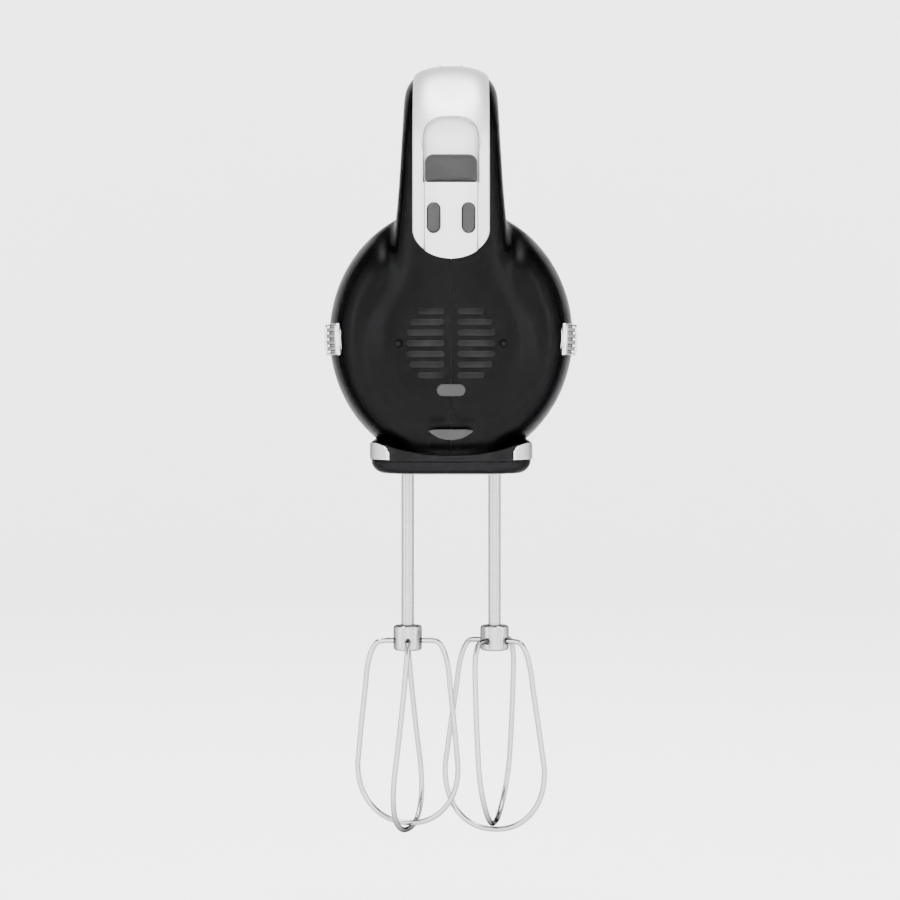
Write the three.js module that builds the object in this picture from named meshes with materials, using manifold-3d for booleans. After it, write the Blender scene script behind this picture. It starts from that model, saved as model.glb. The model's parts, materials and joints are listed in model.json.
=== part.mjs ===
// A hand mixer with two wire whisks: two-part housing with a looped handle, worm drive, controls and beaters.
// Millimetres. +Z up, +Y towards the nose, +X to the right seen from behind.
// The origin is on the flat face of the underside plate, midway between the two beater sockets.
import * as THREE from "three";
import { mergeVertices } from "three/addons/utils/BufferGeometryUtils.js";
import { ParametricGeometry } from "three/addons/geometries/ParametricGeometry.js";
import Module from "manifold-3d";

const wasm = await Module();
wasm.setup();

// Driving dimensions: housing
const gap = 0.3;
const wall = 2.4;
const bodyHalfWidth = 44.2;
const bodyHalfHeight = 47.4;
const bodyBottomZ = 2.8;
const bodyRearY = -97.5;
const bodyNoseY = 92;
const baseTopZ = 12;
const baseBottomZ = 0.8;
const baseSideMargin = 11.9;
const fingerGap = 26;
const handleHalfThickness = 12.8;
const handleHalfWidth = 17;
const stripHalfWidth = 13.5;
const stripProud = 1.0;
const stripDepth = 1.6;

// Driving dimensions: drive and beaters
const beaterSpacing = 33.4;
const shaftRadius = 2.4;
const wheelTeeth = 26;
const wheelPitchRadius = 13;
const motorShaftRadius = 2.5;
const armatureRadius = 14.6;
const stackLength = 22;
const collarRadius = 5.5;
const collarTopZ = -60;
const collarHeight = 9.8;
const wireRadius = 1.02;
const whiskRadius = 19.9;
const whiskWidestZ = -116;
const whiskBottomZ = -138.6;
const whiskTwistPerMm = THREE.MathUtils.degToRad(0.3);

// Sizes that follow from them
const bodyCentreZ = bodyBottomZ + bodyHalfHeight;
const baseHalfWidth = beaterSpacing / 2 + baseSideMargin;
const driveZ = bodyCentreZ;
const wormPitchRadius = beaterSpacing / 2 - wheelPitchRadius;
const wormPitch = (2 * Math.PI * wheelPitchRadius) / wheelTeeth;
const bodyTopZ = bodyCentreZ + bodyHalfHeight;
const bodyDepth = bodyNoseY - bodyRearY;
const spindleRadius = shaftRadius + 2.8;
const spindleTopZ = driveZ + 12.5;
const wheelOutside = wheelPitchRadius + 0.9;
const gearWall = 2.2;
const gearboxHalfY = wheelOutside + 1.2 + gearWall;

// Helpers

// Geometry to solid: only positions are kept, shared points are merged, and faces are turned outward.
function solid(geometry) {
  const bare = geometry.index ? geometry.toNonIndexed() : geometry.clone();
  bare.deleteAttribute("normal");
  bare.deleteAttribute("uv");
  const merged = mergeVertices(bare, 1e-4);
  const triVerts = new Uint32Array(merged.index.array);
  const vertProperties = merged.attributes.position.array;
  const made = new wasm.Manifold(new wasm.Mesh({ numProp: 3, vertProperties, triVerts }));
  if (made.volume() > 0) return made;
  triVerts.reverse();
  return new wasm.Manifold(new wasm.Mesh({ numProp: 3, vertProperties, triVerts }));
}

function geometryOf(made) {
  const mesh = made.getMesh();
  const geometry = new THREE.BufferGeometry();
  geometry.setAttribute("position", new THREE.BufferAttribute(new Float32Array(mesh.vertProperties), 3));
  geometry.setIndex(new THREE.BufferAttribute(new Uint32Array(mesh.triVerts), 1));
  geometry.computeVertexNormals();
  return geometry;
}

const joined = (pieces) => pieces.reduce((sum, piece) => sum.add(piece));

// Box between two corners.
function box(x0, x1, y0, y1, z0, z1) {
  const geometry = new THREE.BoxGeometry(x1 - x0, y1 - y0, z1 - z0);
  return solid(geometry.translate((x0 + x1) / 2, (y0 + y1) / 2, (z0 + z1) / 2));
}

// Cylinders along each axis, from one end to the other.
function rodX(radius, x0, x1, y, z, sides = 16) {
  const geometry = new THREE.CylinderGeometry(radius, radius, x1 - x0, sides).rotateZ(Math.PI / 2);
  return solid(geometry.translate((x0 + x1) / 2, y, z));
}

function rodY(radius, y0, y1, x, z, sides = 18) {
  const geometry = new THREE.CylinderGeometry(radius, radius, y1 - y0, sides);
  return solid(geometry.translate(x, (y0 + y1) / 2, z));
}

function rodZ(radius, z0, z1, x, y, sides = 18) {
  const geometry = new THREE.CylinderGeometry(radius, radius, z1 - z0, sides).rotateX(Math.PI / 2);
  return solid(geometry.translate(x, y, (z0 + z1) / 2));
}

// Outlines pushed out along each axis: (y, z) along X, (x, z) along Y and (x, y) along Z.
const alongX = new THREE.Matrix4().makeBasis(
  new THREE.Vector3(0, 1, 0),
  new THREE.Vector3(0, 0, 1),
  new THREE.Vector3(1, 0, 0),
);

function pushX(shape, x0, x1, curveSegments = 4) {
  const geometry = new THREE.ExtrudeGeometry(shape, { depth: x1 - x0, bevelEnabled: false, curveSegments });
  return solid(geometry.applyMatrix4(alongX).translate(x0, 0, 0));
}

function pushY(shape, y0, y1, curveSegments = 4) {
  const geometry = new THREE.ExtrudeGeometry(shape, { depth: y1 - y0, bevelEnabled: false, curveSegments });
  return solid(geometry.rotateX(Math.PI / 2).translate(0, y1, 0));
}

function pushZ(shape, z0, z1, curveSegments = 4) {
  const geometry = new THREE.ExtrudeGeometry(shape, { depth: z1 - z0, bevelEnabled: false, curveSegments });
  return solid(geometry.translate(0, 0, z0));
}

// A rounded rectangle given by its centre, half sizes and corner radius.
function roundedRect(cx, cy, halfA, halfB, radius) {
  const r = Math.min(radius, halfA, halfB);
  const shape = new THREE.Shape();
  shape.moveTo(cx - halfA + r, cy - halfB);
  shape.lineTo(cx + halfA - r, cy - halfB);
  shape.absarc(cx + halfA - r, cy - halfB + r, r, -Math.PI / 2, 0);
  shape.lineTo(cx + halfA, cy + halfB - r);
  shape.absarc(cx + halfA - r, cy + halfB - r, r, 0, Math.PI / 2);
  shape.lineTo(cx - halfA + r, cy + halfB);
  shape.absarc(cx - halfA + r, cy + halfB - r, r, Math.PI / 2, Math.PI);
  shape.lineTo(cx - halfA, cy - halfB + r);
  shape.absarc(cx - halfA + r, cy - halfB + r, r, Math.PI, 1.5 * Math.PI);
  return shape;
}

// Material helpers
function finish(color, roughness, metalness) {
  return new THREE.MeshStandardMaterial({ color, roughness, metalness });
}

const blackGloss = finish(0x141416, 0.3, 0);
const blackSatin = finish(0x2b2b2d, 0.5, 0);
const silverSatin = finish(0xdcdcdc, 0.4, 0.5);
const chrome = finish(0xc8c8ca, 0.12, 1);
const steel = finish(0xb9bbbd, 0.25, 1);
const rubber = finish(0x6b6b6b, 0.8, 0);
const darkPlastic = finish(0x4a4a4c, 0.45, 0);
const copper = finish(0xb5693a, 0.4, 1);
const lamination = finish(0x70737a, 0.5, 0.8);
const brass = finish(0xc2a253, 0.35, 1);
const carbon = finish(0x303030, 0.7, 0.1);
const nylon = finish(0xe6e1d2, 0.5, 0);
const board = finish(0x2f5d3a, 0.5, 0);
const smoked = finish(0x0c0c10, 0.08, 0);

const group = new THREE.Group();

function node(name, made, material) {
  const mesh = new THREE.Mesh(made.getMesh ? geometryOf(made) : made, material);
  mesh.name = name;
  group.add(mesh);
  return mesh;
}

// Body: a bullet turned about the motor axis and made a little taller than wide.
// Each entry is a share of the depth from the rear and a share of the half width.
const bodyProfile = [
  [0, 0],
  [0.003, 0.3],
  [0.011, 0.54],
  [0.031, 0.74],
  [0.07, 0.88],
  [0.124, 0.962],
  [0.21, 1],
  [0.5, 1],
  [0.64, 0.975],
  [0.77, 0.9],
  [0.87, 0.77],
  [0.945, 0.56],
  [0.985, 0.31],
  [1, 0],
];

function bodySolid(inset, sides) {
  const points = bodyProfile.map(([along, across]) => {
    const share = (bodyHalfWidth - inset) / bodyHalfWidth;
    const rear = bodyRearY + inset;
    const depth = bodyDepth - 2 * inset;
    return new THREE.Vector2(across * bodyHalfWidth * share, rear + along * depth);
  });
  const geometry = new THREE.LatheGeometry(points, sides);
  const tall = (bodyHalfHeight - inset) / (bodyHalfWidth - inset);
  return solid(geometry.scale(1, 1, tall).translate(0, 0, bodyCentreZ));
}

// Handle: a rounded section carried up the heel, over the top and down the front column.
const handleZ = bodyTopZ + fingerGap + handleHalfThickness;
const glandZ = handleZ - 28.6;
const heelFootZ = handleZ - 46;
const handleStations = [
  // y, z, half width, half thickness
  [-78, bodyCentreZ + 2, handleHalfWidth + 7, 16],
  [-81.5, bodyCentreZ + 24, handleHalfWidth + 4.5, 17],
  [-84.5, handleZ - 40, handleHalfWidth + 2, 16.6],
  [-83, handleZ - 20, handleHalfWidth + 0.6, 15.8],
  [-71, handleZ - 5.8, handleHalfWidth, 14],
  [-42, handleZ - 2.2, handleHalfWidth - 0.2, handleHalfThickness],
  [-8, handleZ + 1.8, handleHalfWidth, handleHalfThickness],
  [20, handleZ + 4, handleHalfWidth + 0.5, handleHalfThickness + 0.8],
  [41, handleZ - 4, handleHalfWidth + 0.5, handleHalfThickness + 1.4],
  [50, handleZ - 23, handleHalfWidth + 1, handleHalfThickness + 1.4],
  [50, handleZ - 46, handleHalfWidth + 4, handleHalfThickness + 2],
  [46, bodyCentreZ + 16, handleHalfWidth + 7, handleHalfThickness + 3],
];
const handleLine = new THREE.CatmullRomCurve3(handleStations.map(([y, z]) => new THREE.Vector3(0, y, z)));
const handleSize = new THREE.CatmullRomCurve3(handleStations.map(([, , w, t]) => new THREE.Vector3(w, t, 0)));

// A point on the handle line moved outward, away from the finger gap.
function besideHandle(t, outward) {
  const centre = handleLine.getPoint(t);
  const ahead = handleLine.getTangent(t);
  return new THREE.Vector2(centre.y - ahead.z * outward, centre.z + ahead.y * outward);
}

const handleAround = 16;
const handleAlong = 18;
function handleSolid(grow, around, along) {
  const softened = (value) => Math.sign(value) * Math.abs(value) ** (2 / 2.7);
  const surface = (u, v, target) => {
    const ring = Math.round(v * (along + 2));
    const t = Math.min(Math.max(ring - 1, 0), along) / along;
    const open = ring === 0 || ring === along + 2 ? 0 : 1;
    const size = handleSize.getPoint(t);
    const turn = 2 * Math.PI * (u % 1);
    const outward = open * (size.y + grow) * softened(Math.sin(turn));
    const at = besideHandle(t, outward);
    target.set(open * (size.x + grow) * softened(Math.cos(turn)), at.x, at.y);
  };
  return solid(new ParametricGeometry(surface, around, along + 2));
}

// The band of the handle's outer side that carries the strip, cut round at its lower rear end.
const stripBottomZ = heelFootZ - 13.6;
function stripBand(extra) {
  const points = [];
  const first = 0.1;
  const last = 0.86;
  for (let i = 0; i <= 14; i++) {
    points.push(besideHandle(first + ((last - first) * i) / 14, 2));
  }
  for (let i = 14; i >= 0; i--) {
    points.push(besideHandle(first + ((last - first) * i) / 14, 26));
  }
  const side = pushX(new THREE.Shape(points), -stripHalfWidth - extra, stripHalfWidth + extra);
  const half = stripHalfWidth + extra;
  const bottom = stripBottomZ - extra;
  const tongue = new THREE.Shape();
  tongue.moveTo(-half, 260);
  tongue.lineTo(-half, bottom + 9.7);
  tongue.absellipse(0, bottom + 9.7, half, 9.7, Math.PI, 2 * Math.PI);
  tongue.lineTo(half, 260);
  return side.intersect(pushY(tongue, -160, 120, 8));
}

// The heel plane: the two heel feet, the lower foot and the crescent foot all end on it.
const heelTilt = Math.atan2(9, 75);
const heelPlaneY = (z) => -105 - (z - 90) * Math.tan(heelTilt);
const heelBeyond = solid(
  new THREE.BoxGeometry(200, 40, 400)
    .translate(0, -20, 0)
    .rotateX(heelTilt)
    .translate(0, heelPlaneY(50), 50),
);

// Controls on the handle top share one frame: origin on the top line, y along it, z away from it.
const topSlope = Math.atan2(4, 34);
const slideCentreT = 0.568;
const slideCentre = besideHandle(slideCentreT, handleHalfThickness + stripProud);
const topFrame = new THREE.Matrix4()
  .makeTranslation(0, slideCentre.x, slideCentre.y)
  .multiply(new THREE.Matrix4().makeRotationX(topSlope));
const displayT = 0.634;
const displaySeat = besideHandle(displayT, handleSize.getPoint(displayT).y + stripProud);
const displayAhead = handleLine.getTangent(displayT);
const displayFrame = new THREE.Matrix4()
  .makeTranslation(0, displaySeat.x, displaySeat.y)
  .multiply(new THREE.Matrix4().makeRotationX(Math.atan2(displayAhead.z, displayAhead.y)));
function blockIn(frame, halfA, halfB, radius, z0, z1, y) {
  const options = { depth: z1 - z0, bevelEnabled: false, curveSegments: 3 };
  const geometry = new THREE.ExtrudeGeometry(roundedRect(0, y, halfA, halfB, radius), options);
  return solid(geometry.translate(0, 0, z0).applyMatrix4(frame));
}
const topBlock = (halfA, halfB, radius, z0, z1, y = 0) => blockIn(topFrame, halfA, halfB, radius, z0, z1, y);
const displayBlock = (halfA, halfB, radius, z0, z1) => blockIn(displayFrame, halfA, halfB, radius, z0, z1, 0);
const sliderTravel = 16;
const ejectSeat = besideHandle(0.706, handleHalfThickness + 1.4 + stripProud);
const ejectY = ejectSeat.x;
const ejectTopZ = ejectSeat.y;
const turboZ = handleZ - 18;

// Vent slots: two columns of seven rows, their outer ends on a rounded outline.
const ventPitch = 3.72;
const ventHalfHeight = 1.05;
const ventCentreZ = bodyCentreZ - 3.3;
const ventSlots = [];
for (let row = -3; row <= 3; row++) {
  const rise = Math.abs(row * ventPitch) / 14.3;
  const outer = 15.6 * (1 - rise ** 2.6) ** (1 / 2.6);
  for (const side of [-1, 1]) {
    const middle = (side * (outer + 2.3)) / 2;
    const slot = roundedRect(middle, ventCentreZ + row * ventPitch, (outer - 2.3) / 2, ventHalfHeight, 1.04);
    ventSlots.push(pushY(slot, bodyRearY - 12, bodyRearY + 7, 2));
  }
}

// Feet outlines
const heelFoot = (side, extra) => roundedRect(side * 6.05, heelFootZ, 2.03 + extra, 4.95 + extra, 2.02 + extra);
const lowerFoot = (extra) => roundedRect(0, 30.5, 5 + extra, 2.08 + extra, 2.07 + extra);
function crescent(share) {
  const shape = new THREE.Shape();
  const topZ = 15.2 + 1.5 * share;
  shape.moveTo(-7.85 * share, topZ);
  shape.lineTo(7.85 * share, topZ);
  shape.quadraticCurveTo(0, 15.2 - 5.6 * share, -7.85 * share, topZ);
  return shape;
}
const plugX = 18.3;

// Housing shell
const bodyOuter = bodySolid(0, 28);
const bodyInner = bodySolid(wall, 20);
const handleOuter = handleSolid(0, handleAround, handleAlong);
const handleInner = handleSolid(-4.2, 12, 14);
const belowBase = box(-80, 80, -140, 140, -40, baseTopZ + gap);
const stripPocket = stripBand(gap).subtract(handleSolid(-stripDepth - gap, handleAround, handleAlong));
const cavity = bodyInner.add(handleInner);

// Stator cradle: two ribs with an opening that follows the stator.
const stackY1 = -(gearboxHalfY + 18.7);
const stackY0 = stackY1 - stackLength;
const statorHalfX = armatureRadius + 12.4;
const statorHalfZ = armatureRadius + 8.4;
const statorHole = pushY(roundedRect(0, driveZ, statorHalfX + gap, statorHalfZ + gap, 10 + gap), -120, 80, 5);
const fanRadius = 22;
const cradle = [stackY0 + 4, stackY1 - 4]
  .map((y) => bodyInner.intersect(box(-60, 60, y - 1.2, y + 1.2, baseTopZ + gap, bodyTopZ)))
  .map((rib) => rib.subtract(statorHole));

let shell = bodyOuter.add(handleOuter).subtract(stripPocket);
shell = shell.subtract(cavity);
shell = shell.add(joined(cradle));
shell = shell.subtract(belowBase);
shell = shell.subtract(joined(ventSlots));
shell = shell.subtract(pushY(lowerFoot(gap), -120, -94.6));
shell = shell.subtract(pushY(crescent(1.2), -120, -90.4));
const glandRadius = 3.6;
shell = shell.subtract(rodY(glandRadius + gap, -120, -86, 0, glandZ));
for (const side of [-1, 1]) {
  shell = shell.subtract(rodY(1.4 + gap, -120, -94.4, side * plugX, ventCentreZ, 12));
}

// Openings in the handle top for the slider stem, the display, the eject rod and the turbo stem.
const sliderSlot = topBlock(2.6, sliderTravel / 2 + 3.4, 2.6, -9, 6);
const displayHole = displayBlock(9.3, 5.8, 2, -9, 6);
const ejectHole = rodZ(6 + gap, handleZ - 6, 200, 0, ejectY, 20);
const turboHole = rodY(6.5 + gap, 52, 90, 0, turboZ, 20);
for (const opening of [sliderSlot, displayHole, ejectHole, turboHole]) {
  shell = shell.subtract(opening);
}

for (const side of [-1, 1]) {
  shell = shell.subtract(rodZ(spindleRadius + 1.4, -5, driveZ - 14, (side * beaterSpacing) / 2, 0));
}

const leftSide = box(-100, -gap / 2, -150, 150, -50, 260);
const rightSide = box(gap / 2, 100, -150, 150, -50, 260);
node("left_housing", shell.intersect(leftSide), blackGloss);
node("right_housing", shell.intersect(rightSide), blackGloss);

// Base: a rounded tray under the halves, its lower edge rounded.
const baseRearY = -90;
const baseFrontY = 66;
function basePlan(inset) {
  const half = baseHalfWidth - inset;
  const shape = new THREE.Shape();
  shape.moveTo(-half, baseRearY + 16);
  shape.absellipse(-half + 16, baseRearY + 16, 16, 16 - inset, Math.PI, 1.5 * Math.PI);
  shape.absellipse(half - 16, baseRearY + 16, 16, 16 - inset, 1.5 * Math.PI, 2 * Math.PI);
  shape.absellipse(0, baseFrontY - 40, half, 40 - inset, 0, Math.PI);
  return shape;
}
const baseRound = 5;
const baseBlank = solid(
  new THREE.ExtrudeGeometry(basePlan(baseRound), {
    depth: 20,
    bevelThickness: baseRound,
    bevelSize: baseRound,
    bevelSegments: 2,
    curveSegments: 5,
  }).translate(0, 0, baseBottomZ + baseRound),
);
const trimZ0 = 5.4;
const trimDepth = 1.6;
const trimBand = pushZ(basePlan(-0.5), trimZ0 - gap, baseTopZ + 1, 5)
  .subtract(pushZ(basePlan(trimDepth), trimZ0 - 2, baseTopZ + 2, 5))
  .subtract(box(-17.8, 17.8, -140, 140, -5, 40));
const plateHalfWidth = baseHalfWidth - 8.2;
const plateOutline = (extra) => roundedRect(0, -18, plateHalfWidth + extra, 52 + extra, 14);
let base = baseBlank.subtract(box(-80, 80, -140, 140, baseTopZ, 60));
base = base.subtract(pushZ(basePlan(wall + trimDepth), baseBottomZ + 3, 30, 5));
base = base.subtract(trimBand);
base = base.subtract(pushZ(plateOutline(gap), -1, 1.2 + gap));
const socketX = [-beaterSpacing / 2, beaterSpacing / 2];
for (const x of socketX) {
  base = base.subtract(rodZ(spindleRadius + 1.4, -2, baseTopZ + 1, x, 0));
}
node("base_housing", base, blackSatin);

// Chrome side trims lie in the step along each side of the base.
const trimSolid = pushZ(basePlan(0), trimZ0, baseTopZ, 5)
  .subtract(pushZ(basePlan(trimDepth - gap), trimZ0 - 2, baseTopZ + 2, 5))
  .subtract(box(-18.1, 18.1, -140, 140, -5, 40));
node("side_trim_left", trimSolid.intersect(leftSide), chrome);
node("side_trim_right", trimSolid.intersect(rightSide), chrome);

// Underside plate with the two sockets.
let plate = pushZ(plateOutline(0), 0, 1.2);
for (const x of socketX) {
  plate = plate.subtract(rodZ(spindleRadius + 1, -2, 4, x, 0));
}
const plateScrewY = [-58, 22];
for (const y of plateScrewY) {
  plate = plate.subtract(rodZ(1.8, -2, 4, 0, y, 12));
}
node("underside_plate", plate, silverSatin);

// Two plate screws hold the underside plate to the base.
plateScrewY.forEach((y, i) => {
  const head = rodZ(1.5, 0.1, 1.1 + gap, 0, y, 12);
  const slot = box(-1.2, 1.2, y - 0.25, y + 0.25, 0, 0.5);
  node("plate_screw_" + (i + 1), head.subtract(slot), steel);
});

// Handle strip with its raised heel block, the scoop above it and the openings for the controls.
const strip = stripBand(0);
const heelBlock = pushY(roundedRect(0, heelFootZ + 1, 9.2, 11.6, 3), -120, -90);
const scoop = new THREE.Shape();
const scoopTopZ = glandZ + 18;
scoop.moveTo(-9.6, glandZ - 4.8);
scoop.lineTo(9.6, glandZ - 4.8);
scoop.lineTo(9.6, scoopTopZ - 7.8);
scoop.quadraticCurveTo(9.4, scoopTopZ - 0.2, 4, scoopTopZ);
scoop.lineTo(-4, scoopTopZ);
scoop.quadraticCurveTo(-9.4, scoopTopZ - 0.2, -9.6, scoopTopZ - 7.8);
let stripSolid = handleSolid(stripProud, handleAround, handleAlong).intersect(strip);
stripSolid = stripSolid.add(handleSolid(stripProud + 1.4, handleAround, handleAlong).intersect(strip).intersect(heelBlock));
stripSolid = stripSolid.subtract(handleSolid(-stripDepth, handleAround, handleAlong));
const scoopFloor = handleSolid(-0.2, handleAround, handleAlong);
stripSolid = stripSolid.subtract(pushY(scoop, -130, -84).subtract(scoopFloor));
stripSolid = stripSolid.subtract(rodY(glandRadius + gap, -120, -86, 0, glandZ));
for (const side of [-1, 1]) {
  stripSolid = stripSolid.subtract(pushY(heelFoot(side, gap), -120, -101.6));
}
for (const opening of [sliderSlot, displayHole, ejectHole, turboHole]) {
  stripSolid = stripSolid.subtract(opening);
}
node("handle_strip", stripSolid, silverSatin);

// Cord outlet: a convex cover in the scoop and the gland behind it.
const coverOutline = roundedRect(0, glandZ, 9.1, 4.7, 2.2);
const cover = handleSolid(2.2, handleAround, handleAlong)
  .intersect(pushY(coverOutline, -130, -84))
  .subtract(handleSolid(0.1, handleAround, handleAlong));
node("cord_outlet_cover", cover, darkPlastic);
const glandFrontY = -98.6;
const gland = rodY(glandRadius, glandFrontY, -88, 0, glandZ).add(rodY(5.4, -93.6, -91.6, 0, glandZ));
const glandBore = rodY(1.9, glandFrontY - 4, -80, 0, glandZ, 12);
node("cord_gland", gland.subtract(glandBore), rubber);

// Feet: two on the heel block, one low on the rear and a crescent under it, all ending on the heel plane.
for (const side of [-1, 1]) {
  const name = side < 0 ? "heel_foot_left" : "heel_foot_right";
  node(name, pushY(heelFoot(side, 0), -125, -101.9).subtract(heelBeyond), rubber);
}
node("lower_rear_foot", pushY(lowerFoot(0), -125, -94.9).subtract(heelBeyond), rubber);
node("rear_crescent_foot", pushY(crescent(1), -125, -90.7).subtract(heelBeyond), rubber);

// Vent screen behind the slots, and the two small plugs beside them.
let screen = rodY(19, -91.4, -90.4, 0, ventCentreZ, 28);
for (let i = -2; i <= 2; i++) {
  const tall = 14.5 - Math.abs(i) * 2.2;
  screen = screen.subtract(box(i * 6 - 1.8, i * 6 + 1.8, -95, -85, ventCentreZ - tall, ventCentreZ + tall));
}
node("vent_screen", screen, darkPlastic);
for (const side of [-1, 1]) {
  const name = side < 0 ? "plug_left" : "plug_right";
  node(name, rodY(1.4, -96.5, -94.7, side * plugX, ventCentreZ, 12), rubber);
}

// Side badges: four plain raised blocks on one thin bar, following the body's side.
const badgeZ = bodyCentreZ - 1.6;
function badge(side) {
  const clear = bodySolid(-gap, 28);
  const half = side < 0 ? leftSide : rightSide;
  let marks = bodySolid(-0.9, 28).intersect(box(-80, 80, -82, -16, badgeZ - 1.2, badgeZ + 1.2));
  const proud = bodySolid(-1.8, 28);
  for (let i = 0; i < 4; i++) {
    const y = -78 + i * 18;
    marks = marks.add(proud.intersect(box(-80, 80, y - 6, y + 6, badgeZ - 5.6, badgeZ + 5.6)));
  }
  return marks.subtract(clear).intersect(half);
}
node("side_badge_left", badge(-1), chrome);
node("side_badge_right", badge(1), chrome);

// Speed slider: a ridged thumb piece on a stem through the strip.
let slider = topBlock(4.6, 5, 1.8, 0.8, 2.3).add(topBlock(2.1, 3, 1.5, -6.6, 1));
for (let i = -1; i <= 1; i++) {
  slider = slider.subtract(topBlock(3.4, 0.5, 0.4, 1.8, 4, i * 2.2));
}
const sliderStart = -sliderTravel / 2;
const sliderMesh = node("speed_slider", slider, chrome);
sliderMesh.position.set(0, sliderStart * Math.cos(topSlope), sliderStart * Math.sin(topSlope));

// Display window and the board behind it, and the control board with the speed switch under the slider.
node("display_window", displayBlock(9, 5.5, 1.8, -2.1, -0.4), smoked);
node("display_board", displayBlock(8.6, 5.2, 0.4, -4.6, -3.2), board);
node("control_board", topBlock(9.6, 24, 1, -15.4, -13.8, -2), board);
node("speed_switch", topBlock(6, 13, 1, -13.5, -7, 0), darkPlastic);

// Turbo button on the front of the handle and its switch.
const turboFace = 66.4;
const turbo = rodY(6.5, turboFace - 5, turboFace, 0, turboZ, 28).add(rodY(2, turboFace - 12, turboFace - 4, 0, turboZ, 12));
node("turbo_button", turbo, chrome);
node("turbo_switch", box(-5, 5, turboFace - 18.2, turboFace - 14.6, turboZ - 4, turboZ + 4), darkPlastic);

// Eject button, and its rod that runs down the front column to a yoke above the beater shafts.
const beaterTopZ = driveZ + 11;
const yokeZ = spindleTopZ + 7.2;
const ejectTravel = 6;
const ejectButton = rodZ(6, ejectTopZ - 6, ejectTopZ + 2.4, 0, ejectY, 28);
node("eject_button", ejectButton, darkPlastic);
const pushPinZ = beaterTopZ + ejectTravel + 0.4;
let ejectRod = rodZ(1.8, yokeZ, ejectTopZ - 6 - gap, 0, ejectY, 14);
ejectRod = ejectRod.add(box(-2.5, 2.5, -3, ejectY + 2, yokeZ, yokeZ + 2.4));
ejectRod = ejectRod.add(box(-beaterSpacing / 2 - 3, beaterSpacing / 2 + 3, -3, 3, yokeZ, yokeZ + 2.4));
for (const x of socketX) {
  ejectRod = ejectRod.add(rodZ(shaftRadius - 0.2, pushPinZ, yokeZ + 1, x, 0, 14));
}
node("eject_rod", ejectRod, nylon);

// Motor: stator, two field coils, armature, winding, commutator, fan and the shaft that ends in the worm.
let stator = pushY(roundedRect(0, driveZ, statorHalfX, statorHalfZ, 10), stackY0, stackY1, 5);
stator = stator.subtract(rodY(armatureRadius + 0.7, stackY0 - 2, stackY1 + 2, 0, driveZ, 24));
const coilRadius = armatureRadius + 3.6;
const coilAngle = THREE.MathUtils.degToRad(38);
const coilSpots = [];
for (const angle of [coilAngle, Math.PI - coilAngle, Math.PI + coilAngle, 2 * Math.PI - coilAngle]) {
  coilSpots.push([coilRadius * Math.cos(angle), driveZ + coilRadius * Math.sin(angle)]);
}
for (const [x, z] of coilSpots) {
  stator = stator.subtract(rodY(3.1, stackY0 - 2, stackY1 + 2, x, z, 14));
}
node("stator_core", stator, lamination);

function fieldCoil(up) {
  const start = up ? coilAngle : Math.PI + coilAngle;
  const end = up ? Math.PI - coilAngle : 2 * Math.PI - coilAngle;
  const sector = new THREE.Shape();
  sector.absarc(0, driveZ, coilRadius + 2.7, start, end);
  sector.absarc(0, driveZ, coilRadius - 2.7, end, start, true);
  const ends = [
    pushY(sector, stackY0 - 6.5, stackY0 - gap, 10),
    pushY(sector, stackY1 + gap, stackY1 + 6.5, 10),
  ];
  const spots = up ? coilSpots.slice(0, 2) : coilSpots.slice(2);
  const legs = spots.map(([x, z]) => rodY(2.7, stackY0 - 6.5, stackY1 + 6.5, x, z, 12));
  return joined([...ends, ...legs]);
}
node("field_coil_upper", fieldCoil(true), copper);
node("field_coil_lower", fieldCoil(false), copper);

const boreRadius = motorShaftRadius + gap;
const slots = 10;
const slotRadius = armatureRadius - 2.4;
let armature = rodY(armatureRadius, stackY0, stackY1, 0, driveZ, 24);
let winding = rodY(slotRadius + 0.9, stackY0 - 5.4, stackY0 - gap, 0, driveZ, 20);
winding = winding.add(rodY(slotRadius + 0.9, stackY1 + gap, stackY1 + 5.4, 0, driveZ, 20));
for (let i = 0; i < slots; i++) {
  const angle = (2 * Math.PI * (i + 0.5)) / slots;
  const x = slotRadius * Math.cos(angle);
  const z = driveZ + slotRadius * Math.sin(angle);
  armature = armature.subtract(rodY(1.5, stackY0 - 1, stackY1 + 1, x, z, 8));
  winding = winding.add(rodY(0.95, stackY0 - 1, stackY1 + 1, x, z, 6));
}
const throughBore = rodY(boreRadius, -120, 60, 0, driveZ, 20);
node("armature_core", armature.subtract(throughBore), lamination);
node("armature_winding", winding.subtract(throughBore), copper);

const commutatorY0 = stackY0 - 17.5;
const commutatorRadius = 8.5;
let commutator = rodY(commutatorRadius, commutatorY0, commutatorY0 + 11, 0, driveZ, 24);
for (let i = 0; i < slots; i++) {
  const angle = (2 * Math.PI * i) / slots;
  const x = commutatorRadius * Math.cos(angle);
  const z = driveZ + commutatorRadius * Math.sin(angle);
  commutator = commutator.subtract(rodY(0.35, commutatorY0 - 1, commutatorY0 + 12, x, z, 4));
}
node("commutator", commutator.subtract(throughBore), copper);

const fanY = stackY1 + 9.5;
let fan = rodY(fanRadius, fanY, fanY + 1.4, 0, driveZ, 24).add(rodY(6, fanY, fanY + 6.5, 0, driveZ, 20));
const blades = 9;
for (let i = 0; i < blades; i++) {
  const blade = new THREE.BoxGeometry(fanRadius - 6, 6, 1.2).translate(5.5 + (fanRadius - 6) / 2, 3.5, 0);
  fan = fan.add(solid(blade.rotateY((2 * Math.PI * i) / blades).translate(0, fanY, driveZ)));
}
node("cooling_fan", fan.subtract(throughBore), nylon);

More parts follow.
